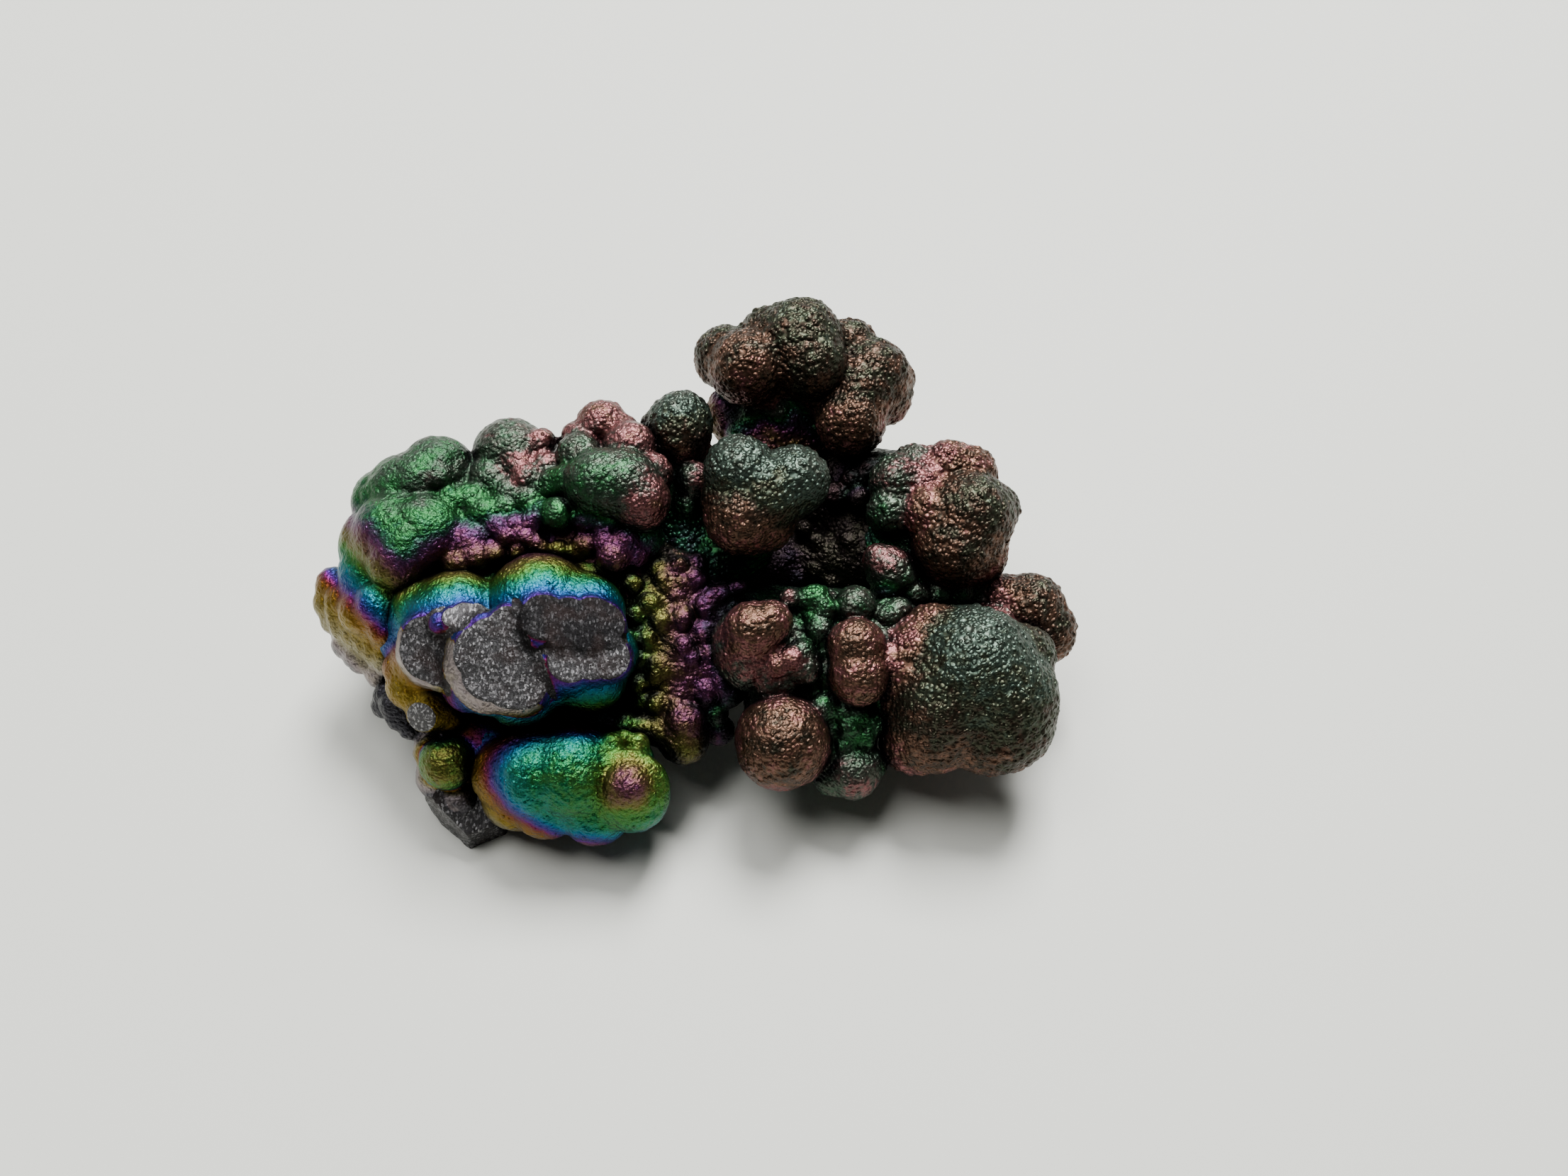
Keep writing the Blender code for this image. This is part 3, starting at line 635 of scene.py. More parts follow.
@dataclass
class Growths:
    """Balls that meet in one skin, in arrays, each with its film law, grain and break."""

    rows: np.ndarray
    laws: np.ndarray
    grains: np.ndarray
    breaks: np.ndarray
    slope: Place = (0.0, 0.0, 0.0)
    fillet: float = 0.13
    centres: np.ndarray = field(init=False)
    radii: np.ndarray = field(init=False)

    def __post_init__(self) -> None:
        """Places the balls in the row frame."""
        self.centres = SIGHT.place(self.rows[:, :3])
        self.radii = SIGHT.radii(self.rows)

    @staticmethod
    def joined(parts: list["Growths"]) -> "Growths":
        """The balls of several lists as one."""
        names = ("rows", "laws", "grains", "breaks")
        return Growths(*(np.concatenate([getattr(part, name) for part in parts]) for name in names))

    def near(self, places: np.ndarray, reach: float) -> "Growths":
        """Picks the balls that the skin at a group of places can depend on.

        Args:
            places: rows of x, y and z, in millimetres.
            reach: how much further off than the nearest ball a ball may be, in millimetres.

        Returns:
            Those balls.
        """
        middle = places.mean(0)
        spread = np.linalg.norm(places - middle, axis=1).max()
        least = self.gaps(middle[None])[0].min()
        picked = np.linalg.norm(self.centres - middle, axis=1) - self.radii < least + 2 * spread + reach
        return Growths(self.rows[picked], self.laws[picked], self.grains[picked], self.breaks[picked],
                       self.slope, self.fillet)

    def gaps(self, places: np.ndarray) -> tuple[np.ndarray, np.ndarray]:
        """Each ball's distance from each place, and the direction away from it.

        Balls that share a break count as one, which its faces cut off flat; their first ball
        stands for all of them.

        Args:
            places: rows of x, y and z, in millimetres.

        Returns:
            The distances, and the directions, with a line for each place.
        """
        away = places[:, None, :] - self.centres
        length = np.sqrt(np.einsum("ijk,ijk->ij", away, away))
        gaps = length - self.radii
        away /= np.maximum(length, 1e-6)[..., None]
        lines = np.arange(len(places))
        for number in np.unique(self.breaks[self.breaks >= 0]):
            columns = np.flatnonzero(self.breaks == number)
            nearest = columns[gaps[:, columns].argmin(1)]
            gap, facing = gaps[lines, nearest], away[lines, nearest]
            for point, plane in BREAKS[BREAK_NAMES[number]].planes:
                over = (places - point) @ plane
                beyond = over > gap
                gap = np.where(beyond, over, gap)
                facing[beyond] = plane
            gaps[:, columns] = NEVER
            gaps[:, columns[0]] = gap
            away[:, columns[0]] = facing
        return gaps, away

    def skin(self, places: np.ndarray) -> tuple[np.ndarray, np.ndarray, np.ndarray]:
        """The joined skin's distance from places, with fillets between the balls.

        Args:
            places: rows of x, y and z, in millimetres.

        Returns:
            The distances, the directions away from the skin, and each ball's distance.
        """
        gaps, away = self.gaps(places)
        least = gaps.min(1)
        shares = np.exp((least[:, None] - gaps) / self.fillet)
        total = shares.sum(1)
        direction = np.einsum("ij,ijk->ik", shares, away)
        direction /= np.maximum(np.linalg.norm(direction, axis=1), 1e-6)[:, None]
        return least - self.fillet * np.log(total), direction, gaps

    def film(self, places: np.ndarray, facing: np.ndarray, gaps: np.ndarray) -> np.ndarray:
        """The film's thickness at places, in nanometres.

        Args:
            places: rows of x, y and z, in millimetres.
            facing: the skin's direction at each place.
            gaps: each ball's distance from each place.

        Returns:
            One thickness for each place.
        """
        seen = SIGHT.seen(places)
        shares = np.exp((gaps.min(1)[:, None] - gaps) / FILM_BLEND)
        values = (seen @ self.slope)[:, None] + (self.rows[:, 4] - self.rows[:, :3] @ self.slope)[None]
        drawn = {FilmLaw.DOME: dome_film, FilmLaw.ENDS: ends_film, FilmLaw.LOBE: lobe_film}
        for law, thickness in drawn.items():
            columns = self.laws == law.value
            if columns.any():
                values[:, columns] = thickness(places, seen)[:, None]
        for number in np.unique(self.breaks[self.breaks >= 0]):
            broken = BREAKS[BREAK_NAMES[number]]
            point, plane = broken.planes[0]
            below = (point - places) @ plane
            bare = (below < broken.rim) & (facing @ DOWN_LEFT > 0.15)
            values[np.ix_(bare, self.breaks == number)] = BARE_FILM
        return (shares * values).sum(1) / shares.sum(1)

    def snapped(self, places: np.ndarray, gaps: np.ndarray) -> tuple[np.ndarray, np.ndarray]:
        """Finds the places that lie on a flat break.

        Args:
            places: rows of x, y and z, in millimetres.
            gaps: each ball's distance from each place.

        Returns:
            How far inside a break each place lies in millimetres, below 0 outside, and how
            pale the break is there, partly its own grey and partly painted sheen.
        """
        snap = np.full(len(places), -BREAK_REACH)
        tone = np.zeros(len(places))
        closest = np.full(len(places), CRACK_REACH)
        touching = np.zeros(len(places), int)
        least = gaps.min(1)
        for number in np.unique(self.breaks[self.breaks >= 0]):
            columns = np.flatnonzero(self.breaks == number)
            away = np.linalg.norm(places[:, None] - self.centres[columns], axis=2)
            balls = (away - self.radii[columns]).min(1)
            broken = BREAKS[BREAK_NAMES[number]]
            over = np.max([(places - point) @ plane for point, plane in broken.planes], axis=0)
            here = gaps[:, columns[0]] - least
            inside = np.where(here < 0.06, over - balls + 0.08, -BREAK_REACH)
            snap = np.maximum(snap, np.clip(inside, -BREAK_REACH, BREAK_REACH))
            nearer = here < closest
            tone[nearer] = broken.tone
            closest = np.minimum(closest, here)
            touching += np.abs(gaps[:, columns[0]]) < CRACK_REACH
        cracked = touching > 1
        snap[cracked] = np.maximum(snap[cracked], 0.05)
        tone[cracked] *= 0.5
        return snap, tone

    def painted_shade(self, places: np.ndarray, facing: np.ndarray) -> np.ndarray:
        """How much open air each place loses to the growths around it, which sets its painted shade.

        Args:
            places: rows of x, y and z, in millimetres.
            facing: the skin's direction at each place.

        Returns:
            From 0, in the open, to 1 for each place.
        """
        total = np.zeros(len(places))
        for reach, weight in SHADE_REACHES:
            spots = places + facing * reach
            squares = (spots**2).sum(1)[:, None] + (self.centres**2).sum(1) - 2 * spots @ self.centres.T
            gaps = np.sqrt(np.maximum(squares, 0)) - self.radii
            for number in np.unique(self.breaks[self.breaks >= 0]):
                columns = np.flatnonzero(self.breaks == number)
                for point, plane in BREAKS[BREAK_NAMES[number]].planes:
                    over = ((spots - point) @ plane)[:, None]
                    gaps[:, columns] = np.maximum(gaps[:, columns], over)
            free = np.minimum(gaps.min(1), spots[:, 2])
            total += weight * np.clip(1 - free / reach, 0, 1)
        return total


# Each pairs a distance in mm with the film's thickness in nm there: inward from the left
# edge and away from the ends, up from the dome's purple band, and, as a share of the
# ellipse, inward from the lobe's rim
THICKENING = ((-4.8, -140), (-4.0, -60), (-3.5, 40), (-3.1, 140), (-2.6, 230), (-1.7, 320),
              (-0.8, 410), (0.0, 550), (0.5, 650), (1.0, 715), (1.6, 800), (2.1, 890), (2.6, 955),
              (3.2, 1050), (3.8, 1130), (4.5, 1230), (5.3, 1300), (7.0, 1370), (10.0, 1440))
DOME_THICKENING = ((-7.5, 150), (-6.3, 280), (-5.3, 390), (-4.3, 550), (-3.6, 690), (-3.2, 740),
                   (-2.4, 870), (-1.3, 960), (-0.7, 1040), (0.0, 1110), (0.6, 1170), (1.0, 1230),
                   (1.6, 1290), (3.0, 1330), (3.8, 1400), (4.4, 1500), (5.0, 1470), (5.7, 1390),
                   (7.0, 1370), (8.4, 1480), (9.5, 1570))
LOBE_THICKENING = ((-0.6, 120), (-0.32, 200), (-0.2, 320), (-0.08, 420), (0.0, 530), (0.06, 610),
                   (0.13, 680), (0.19, 740), (0.28, 785), (0.45, 810), (0.7, 830), (1.0, 860))
# Across the neck, from left to right
NECK_THICKENING = ((-12.5, 780), (-11.0, 830), (-9.5, 890), (-8.6, 950), (-7.4, 1060), (-5.5, 1120),
                   (-4.0, 1190), (-2.5, 1320), (8.0, 1360))
# The dome's purple band, seen across and up
PURPLE_BAND = ((-31.6, 2.9), (-30.0, 2.6), (-28.8, 1.9), (-27.6, 1.3), (-26.4, 1.3), (-25.2, 1.9),
               (-24.0, 2.8), (-22.5, 3.4), (-20.5, 3.9), (-16.5, 4.3))
# The ellipse that the lobe's rim follows, across and up
LOBE_MIDDLE = (-14.0, -14.0)
LOBE_TILT = math.radians(-12.0)
LOBE_HALF_LENGTH = 7.0
LOBE_HALF_WIDTH = 3.9
# The film on the rims that broke free of it, in nm
BARE_FILM = 125.0


def inward(seen: np.ndarray) -> np.ndarray:
    """How far places lie inward from the left edge, square to the slant of its bands."""
    return 0.72 * (seen[:, 0] + 30.3) + 0.69 * (seen[:, 1] + 0.95)


def dome_film(places: np.ndarray, seen: np.ndarray) -> np.ndarray:
    """The shoulder's film: thicker up from the purple band, and inward from the left edge.

    Args:
        places: not used, as the band is drawn across the sight.
        seen: the places as across, up and out.

    Returns:
        One thickness in nanometres for each place.
    """
    spots = seen[:, :2]
    nearest = np.full(len(spots), NEVER)
    for start, end in zip(PURPLE_BAND, PURPLE_BAND[1:]):
        start, along = np.array(start), np.array(end) - start
        share = np.clip((spots - start) @ along / (along @ along), 0, 1)
        nearest = np.minimum(nearest, np.linalg.norm(spots - start - share[:, None] * along, axis=1))
    above = spots[:, 1] > np.interp(spots[:, 0], *zip(*PURPLE_BAND))
    up_dome = np.interp(np.where(above, nearest, -nearest), *zip(*DOME_THICKENING))
    return np.minimum(up_dome, np.interp(inward(seen), *zip(*THICKENING)))


def ends_film(places: np.ndarray, seen: np.ndarray) -> np.ndarray:
    """The columns' film: thicker away from the snapped ends.

    Args:
        places: rows of x, y and z, in millimetres.
        seen: the same places as across, up and out.

    Returns:
        One thickness in nanometres for each place.
    """
    nearest = np.full(len(places), NEVER)
    for centre, plane, reach in ENDS:
        away = places - centre
        over = away @ plane
        flat = np.linalg.norm(away - over[:, None] * plane, axis=1)
        nearest = np.minimum(nearest, np.hypot(np.maximum(flat - reach, 0), 0.45 * over))
    return np.interp(np.minimum(inward(seen), 0.92 * nearest), *zip(*THICKENING))


def lobe_film(places: np.ndarray, seen: np.ndarray) -> np.ndarray:
    """The rainbow lobe's film: thin all round its rim, thicker on its crest.

    Args:
        places: not used, as the rim is an ellipse across the sight.
        seen: the places as across, up and out.

    Returns:
        One thickness in nanometres for each place.
    """
    across, up = seen[:, 0] - LOBE_MIDDLE[0], seen[:, 1] - LOBE_MIDDLE[1]
    along = (across * math.cos(LOBE_TILT) + up * math.sin(LOBE_TILT)) / LOBE_HALF_LENGTH
    aside = (up * math.cos(LOBE_TILT) - across * math.sin(LOBE_TILT)) / LOBE_HALF_WIDTH
    return np.interp(1 - np.hypot(along, aside), *zip(*LOBE_THICKENING))


def listed(*items: Any) -> Any:
    """A dataclass field that holds a fresh list of the items."""
    return field(default_factory=lambda: list(items))


@dataclass
class Cluster:
    """A sub-assembly of growths that meet in one closed skin.

    Sizes are in millimetres. The real granules are 0.25 to 0.4 mm wide; the mesh has them
    coarser, so that they show, and the finish adds the finer ones.
    """

    name: str = "cluster"
    growths: list[Ball] = listed()
    # How the film runs over the growths, and their grain: 0 is smooth, 1 cobbled all over
    law: FilmLaw = FilmLaw.OWN
    grain: float = 0.2
    # Painted shade added to all of it, and the change of its film in nm for each mm across, up and out
    added_shade: float = 0.0
    slope: Place = (0.0, 0.0, 0.0)
    # How round the creases between two growths are
    fillet: float = 0.13
    # Growths with a law and a grain of their own, and the limbs that carry them all
    others: list[Group] = listed()
    stems: list[list[Ball]] = listed()
    # Growths that carry beads on their near side, and lumps on their far side
    near_side: list[Parent] = listed()
    far_side: list[Parent] = listed()
    bead_grain: float = 0.35
    hidden_film: float = 1440.0
    # Growths that a flat break cuts off
    broken: list[Stub] = listed()
    broken_grain: float = 0.05
    # The side of a face; then how high each kind of relief is, and how far apart two are
    cell: float = 0.14
    lump: float = 0.10
    lump_size: float = 1.5
    swell: float = 0.08
    swell_size: float = 2.3
    wrinkle: float = 0.032
    wrinkle_size: float = 0.36
    pebble_size: float = 0.6
    granule: float = 0.10
    granule_size: float = 0.52
    nodule: float = 0.10
    nodule_size: float = 1.1
    # How often the skin settles on the joined balls, and the longest step each time
    settlings: int = 4
    longest_step: float = 0.25
    # Skin this deep inside another sub-assembly never shows, and loses most of its faces
    buried_depth: float = 0.25
    buried_loss: float = 0.95

    def gather(self) -> Growths:
        """Lists every ball of the sub-assembly.

        Returns:
            The balls with their films, laws, grains and breaks.
        """
        lists = [(self.growths, self.law, self.grain), *self.others]
        for stem in self.stems:
            lists.append((chain(stem), FilmLaw.OWN, self.grain))
        lists.append((beads(self.near_side), FilmLaw.OWN, self.bead_grain))
        lists.append((buds(self.far_side, self.hidden_film), FilmLaw.OWN, self.grain))
        rows, laws, grains, breaks = [], [], [], []
        for balls, law, grain in lists:
            rows += balls
            laws += [law.value] * len(balls)
            grains += [grain] * len(balls)
            breaks += [-1] * len(balls)
        for name, law, ball in self.broken:
            rows.append(ball)
            laws.append(law.value)
            grains.append(self.broken_grain)
            breaks.append(BREAK_NAMES.index(name))
        return Growths(np.array(rows), np.array(laws), np.array(grains), np.array(breaks),
                       self.slope, self.fillet)

    def rough_skin(self, growths: Growths) -> tuple[np.ndarray, np.ndarray]:
        """Lays even small faces over all the balls, roughly in place.

        Args:
            growths: the sub-assembly's balls.

        Returns:
            The vertices in millimetres and the quads.
        """
        bm = bmesh.new()
        bmesh.ops.create_icosphere(bm, subdivisions=4, radius=1.0)
        ball = np.array([v.co for v in bm.verts])
        faces = np.array([[v.index for v in f.verts] for f in bm.faces])
        bm.free()
        count = len(growths.radii)
        spots = growths.centres[:, None] + ball * growths.radii[:, None, None]
        for number in np.flatnonzero(growths.breaks >= 0):
            for point, plane in BREAKS[BREAK_NAMES[growths.breaks[number]]].planes:
                over = np.maximum((spots[number] - point) @ plane, 0)
                spots[number] -= over[:, None] * plane
        spots = spots.reshape(-1, 3)
        corners = (faces + len(ball) * np.arange(count)[:, None, None]).reshape(-1, 3)
        mesh = bpy.data.meshes.new(self.name)
        mesh.from_pydata(spots.tolist(), [], corners.tolist())
        holder = bpy.data.objects.new(self.name, mesh)
        bpy.context.scene.collection.objects.link(holder)
        remesh = holder.modifiers.new("Skin", "REMESH")
        remesh.mode = "VOXEL"
        remesh.voxel_size = self.cell * 1.0
        bpy.context.view_layer.update()
        skin = bpy.data.meshes.new_from_object(holder.evaluated_get(bpy.context.evaluated_depsgraph_get()))
        bpy.data.objects.remove(holder)
        bpy.data.meshes.remove(mesh)
        places = np.empty(len(skin.vertices) * 3, np.float32)
        skin.vertices.foreach_get("co", places)
        quads = np.empty(len(skin.loops), np.int32)
        skin.loops.foreach_get("vertex_index", quads)
        bpy.data.meshes.remove(skin)
        return self.outer(places.reshape(-1, 3).astype(float), quads.reshape(-1, 4))

    @staticmethod
    def outer(places: np.ndarray, quads: np.ndarray) -> tuple[np.ndarray, np.ndarray]:
        """Keeps the outer skin alone: a closed skin inside it is an air pocket.

        Args:
            places: the vertices.
            quads: the quads.

        Returns:
            The vertices and quads of the largest skin.
        """
        labels = np.arange(len(places))
        while True:
            least = labels[quads].min(1)
            fresh = labels.copy()
            for corner in quads.T:
                np.minimum.at(fresh, corner, least)
            fresh = fresh[fresh]
            if (fresh == labels).all():
                break
            labels = fresh
        largest = np.bincount(labels).argmax()
        kept = labels == largest
        numbers = np.cumsum(kept) - 1
        return places[kept], numbers[quads[kept[quads[:, 0]]]]

    @staticmethod
    def blocks(places: np.ndarray, size: float = 1.6) -> list[np.ndarray]:
        """Groups neighbouring places.

        Args:
            places: rows of x, y and z, in millimetres.
            size: the side of the cube that a group fills, in millimetres.

        Returns:
            The row numbers of each group.
        """
        cells = np.floor(places / size).astype(np.int64)
        keys = cells @ np.array([1, 1000, 1000000])
        order = np.argsort(keys, kind="stable")
        return np.split(order, np.flatnonzero(np.diff(keys[order])) + 1)

    def build(self, growths: Growths, others: Growths, finish: bpy.types.Material) -> None:
        """Makes the sub-assembly's piece and dresses it.

        Args:
            growths: its own balls.
            others: the other sub-assemblies' balls, which add painted shade to it.
            finish: the specimen's material.
        """
        everything = Growths.joined([growths, others])
        places, quads = self.rough_skin(growths)
        looks = {name: np.zeros(len(places)) for name in ("film", "grain", "snap", "tone", "painted_shade")}
        facing = np.zeros_like(places)
        buried = np.zeros(len(places), bool)
        for block in self.blocks(places):
            spots = places[block]
            own = growths.near(spots, SKIN_REACH)
            for _ in range(self.settlings):
                distance, away, _ = own.skin(spots)
                spots = spots - away * np.clip(distance, -self.longest_step, self.longest_step)[:, None]
            _, away, gaps = own.skin(spots)
            shares = np.exp((gaps.min(1)[:, None] - gaps) / GRAIN_BLEND)
            looks["film"][block] = own.film(spots, away, gaps)
            looks["grain"][block] = (shares * own.grains).sum(1) / shares.sum(1)
            looks["snap"][block], looks["tone"][block] = own.snapped(spots, gaps)
            # Painted shade from the open air that all the growths around take, plus the sub-assembly's
            # added painted shade
            looks["painted_shade"][block] = everything.near(spots, SHADE_REACH).painted_shade(spots, away) + self.added_shade
            depths = -others.near(spots, BURIED_REACH).gaps(spots)[0].min(1)
            buried[block] = depths > self.buried_depth
            places[block], facing[block] = spots, away
        places += facing * self.rise(places, looks)[:, None]
        places[:, 2] = np.maximum(places[:, 2], 0.0)
        mesh = bpy.data.meshes.new(self.name)
        mesh.from_pydata((places * MM).tolist(), [], quads.tolist())
        for name, values in looks.items():
            mesh.attributes.new(name, "FLOAT", "POINT").data.foreach_set("value", values.astype(np.float32))
        mesh.materials.append(finish)
        mesh.shade_smooth()
        piece = bpy.data.objects.new(self.name, mesh)
        bpy.context.scene.collection.objects.link(piece)
        self.thin_out(piece, buried)
        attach(piece, "root")
        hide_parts("goethite")
        triangles = sum(len(face.vertices) - 2 for face in piece.data.polygons)
        LOG.info("%s: %d growths, %d triangles", self.name, len(growths.rows), triangles)

    def thin_out(self, piece: bpy.types.Object, buried: np.ndarray) -> None:
        """Makes the faces larger where the skin runs inside another sub-assembly.

        Args:
            piece: the sub-assembly's piece.
            buried: for each vertex, whether it lies inside another one.
        """
        group = piece.vertex_groups.new(name="buried")
        group.add(np.flatnonzero(buried).tolist(), 1.0, "REPLACE")
        thinner = piece.modifiers.new("Thin out", "DECIMATE")
        thinner.vertex_group = group.name
        thinner.ratio = 1 - self.buried_loss * float(buried.mean())
        bpy.context.view_layer.update()
        fine = piece.data
        thinned = piece.evaluated_get(bpy.context.evaluated_depsgraph_get())
        piece.data = bpy.data.meshes.new_from_object(thinned)
        piece.modifiers.clear()
        piece.vertex_groups.clear()
        name = fine.name
        bpy.data.meshes.remove(fine)
        piece.data.name = name

    def rise(self, places: np.ndarray, looks: dict[str, np.ndarray]) -> np.ndarray:
        """The skin's low relief: lumps, swells, wrinkles, granules and nodules.

        Args:
            places: rows of x, y and z, in millimetres.
            looks: the vertex values, of which "grain" and "snap" are read.

        Returns:
            How far each place rises, in millimetres.
        """
        grain = looks["grain"]
        rise = self.lump * (caps(places, self.lump_size, 3, 0.75) - 0.7)
        rise = rise + self.swell * waves(places, self.swell_size, 5)
        pebbles = caps(places, self.pebble_size, 13, 0.5) - 0.6
        rise += self.wrinkle * (waves(places, self.wrinkle_size, 8) + pebbles)
        rise += self.granule * grain * (caps(places, self.granule_size, 7, 0.32) - 0.5)
        rise += self.nodule * grain * caps(places, self.nodule_size, 11, 0.06)
        flat = 0.035 * waves(places, 0.4, 9) + 0.06 * waves(places, 1.1, 15)
        share = np.clip(looks["snap"] / 0.06 + 0.5, 0, 1)
        return rise + (flat - rise) * share


def ribs() -> list[Ball]:
    """The ribs of the left edge, each a chain that thins a little towards its foot.

    Returns:
        Their balls.
    """
    balls = []
    for number in range(5):
        top = (-31.3 + 0.82 * number, -0.7 - 0.36 * number, -1.2 + 0.42 * number, 0.95, 500.0)
        foot = (-30.9 + 0.72 * number, -3.0 - 0.60 * number, -1.9 + 0.40 * number, 0.85, 380.0)
        balls += chain([top, foot])
    return balls


def collar(across: float, up: float, out: float, ring: float, radius: float, film: float) -> list[Ball]:
    """A ring of balls that face the viewer, as the collar round a knob.

    Args:
        across: the ring's middle as seen across.
        up: the ring's middle as seen up.
        out: how near the ring is.
        ring: the ring's radius.
        radius: each ball's radius.
        film: the film's thickness in nanometres.

    Returns:
        The balls all round.
    """
    count = 20
    turns = [2 * math.pi * number / count for number in range(count)]
    return [(across + ring * math.cos(turn), up + 0.9 * ring * math.sin(turn), out + 0.25 * math.sin(turn),
             radius, film) for turn in turns]


def with_film(film: float, rows: list[tuple[float, float, float, float]]) -> list[Ball]:
    """Rows of across, up, out and radius, all given one film thickness."""
    return [(*row, film) for row in rows]


@dataclass
class DomedShoulder(Cluster):
    """The green and purple domes at the upper left, with ribs below and a beaded slope beside."""

    name: str = "domed_shoulder"
    grain: float = 0.12
    cell: float = 0.143
    lump: float = 0.16
    lump_size: float = 1.7
    law: FilmLaw = FilmLaw.DOME
    growths: list[Ball] = listed(*with_film(1340, [
        (-24.4, 8.2, -1.6, 2.6), (-26.6, 6.9, -1.6, 2.7), (-24.3, 7.8, 0.4, 0.95),
        (-25.6, 7.4, -1.0, 2.4), (-22.7, 7.3, -1.4, 1.3), (-27.9, 6.0, -2.2, 2.5),
        (-27.3, 3.7, 0.2, 3.1), (-25.2, 3.8, 0.6, 2.9), (-27.0, 2.0, 1.4, 2.4),
        (-26.2, 2.9, 1.3, 2.5), (-28.4, 3.0, -1.3, 2.9), (-28.8, 0.9, -1.2, 2.6),
        (-31.6, 0.1, -2.6, 1.4), (-31.9, -1.0, -2.6, 1.25), (-31.5, -2.2, -2.7, 1.1),
        (-28.5, -1.2, 1.1, 1.75), (-29.4, -1.6, 0.0, 1.9), (-28.0, -2.8, 0.8, 1.4),
        (-29.6, -4.6, -2.6, 1.5), (-28.3, -5.8, -1.9, 1.3), (-30.6, -3.8, -3.0, 1.3),
    ]), *ribs())
    others: list[Group] = listed(
        ([
            (-22.2, 3.3, 1.0, 1.5, 1130), (-23.4, 3.2, 1.0, 1.2, 1150), (-23.4, 6.1, 0.2, 1.2, 1340),
            (-22.0, 6.1, 0.0, 1.3, 1350), (-21.2, 5.2, 0.5, 1.3, 1330), (-21.6, 2.2, 1.6, 1.1, 1020),
            (-23.0, 1.7, 1.6, 1.1, 980),
        ], FilmLaw.OWN, 0.15),
        ([
            (-19.2, 9.3, -2.6, 2.7, 1440), (-17.1, 10.2, -1.6, 1.15, 1570), (-20.5, 7.6, -1.3, 1.8, 1410),
            (-18.7, 8.6, -0.7, 1.2, 1570), (-18.1, 7.7, -0.1, 1.1, 1570), (-16.8, 8.6, -0.8, 1.1, 1540),
            (-19.4, 6.6, -0.3, 1.35, 1480), (-19.7, 5.5, 0.3, 1.1, 1350), (-18.2, 6.1, 0.4, 1.0, 1360),
            (-17.2, 5.3, 0.8, 0.95, 1270), (-20.2, 4.3, 0.9, 1.0, 1120), (-19.0, 4.4, 1.1, 0.9, 1120),
            (-17.9, 4.6, 1.1, 0.85, 1130), (-19.5, 3.6, 1.4, 0.8, 1070), (-18.3, 3.6, 1.5, 0.75, 1070),
            (-17.6, 3.2, 1.5, 0.6, 1050), (-20.3, 2.4, 1.3, 0.8, 950), (-18.7, 2.5, 1.4, 0.65, 920),
            (-17.1, 2.8, 1.2, 0.65, 930), (-15.9, 2.7, 1.1, 0.65, 920), (-14.7, 2.5, 0.9, 0.65, 920),
            (-16.0, 5.2, 1.3, 1.15, 1370), (-15.3, 7.6, 0.6, 1.15, 1340), (-16.2, 7.3, 0.1, 1.2, 1340),
            (-17.0, 6.8, -0.2, 1.1, 1400), (-13.9, 4.9, 0.9, 1.15, 1170), (-12.6, 4.7, 0.8, 1.1, 1170),
            (-12.6, 3.3, 1.3, 0.9, 1110), (-11.2, 3.3, 1.2, 0.95, 1110), (-12.0, 2.1, 1.5, 1.15, 1080),
            (-10.5, 2.3, 0.7, 0.95, 1130), (-14.0, 3.1, 1.0, 0.85, 1010), (-9.7, 3.4, 0.0, 1.3, 1240),
        ], FilmLaw.OWN, 0.35),
        ([
            (-12.9, 7.3, 1.0, 2.6, 1400), (-11.3, 7.2, 1.0, 2.6, 1430), (-10.1, 6.2, 1.3, 2.1, 1580),
            (-10.9, 9.9, -0.8, 1.9, 1570), (-14.4, 9.3, -0.6, 1.7, 1440), (-12.8, 11.4, -2.3, 1.85, 1580),
            (-14.6, 10.6, -1.8, 1.2, 1570), (-11.5, 11.0, -2.0, 1.3, 1580), (-9.3, 8.0, 0.0, 1.5, 1560),
        ], FilmLaw.OWN, 0.5),
    )
    stems: list[list[Ball]] = listed(
        [(-24.2, 2.4, -3.6, 5.2, 1340), (-18.5, 3.4, -4.2, 5.3, 1340)],
        [(-14.0, 3.0, -3.0, 3.8, 1100), (-9.0, -2.0, -3.2, 3.5, 1000)],
        [(-12.0, 6.0, -2.8, 3.0, 1300), (-7.0, 8.6, -4.4, 2.2, 1400)],
        [(-16.0, 4.0, -8.6, 4.6, 1450), (-17.0, 3.5, -7.0, 5.0, 1450)],
    )
    far_side: list[Parent] = listed(
        (-24.0, 2.0, -3.5, 6.3, 11), (-18.5, 3.0, -4.0, 6.3, 11), (-16.0, 4.0, -8.6, 4.6, 8),
        (-13.0, 4.0, -3.2, 3.8, 6), (-7.0, 8.6, -4.2, 2.2, 4),
    )


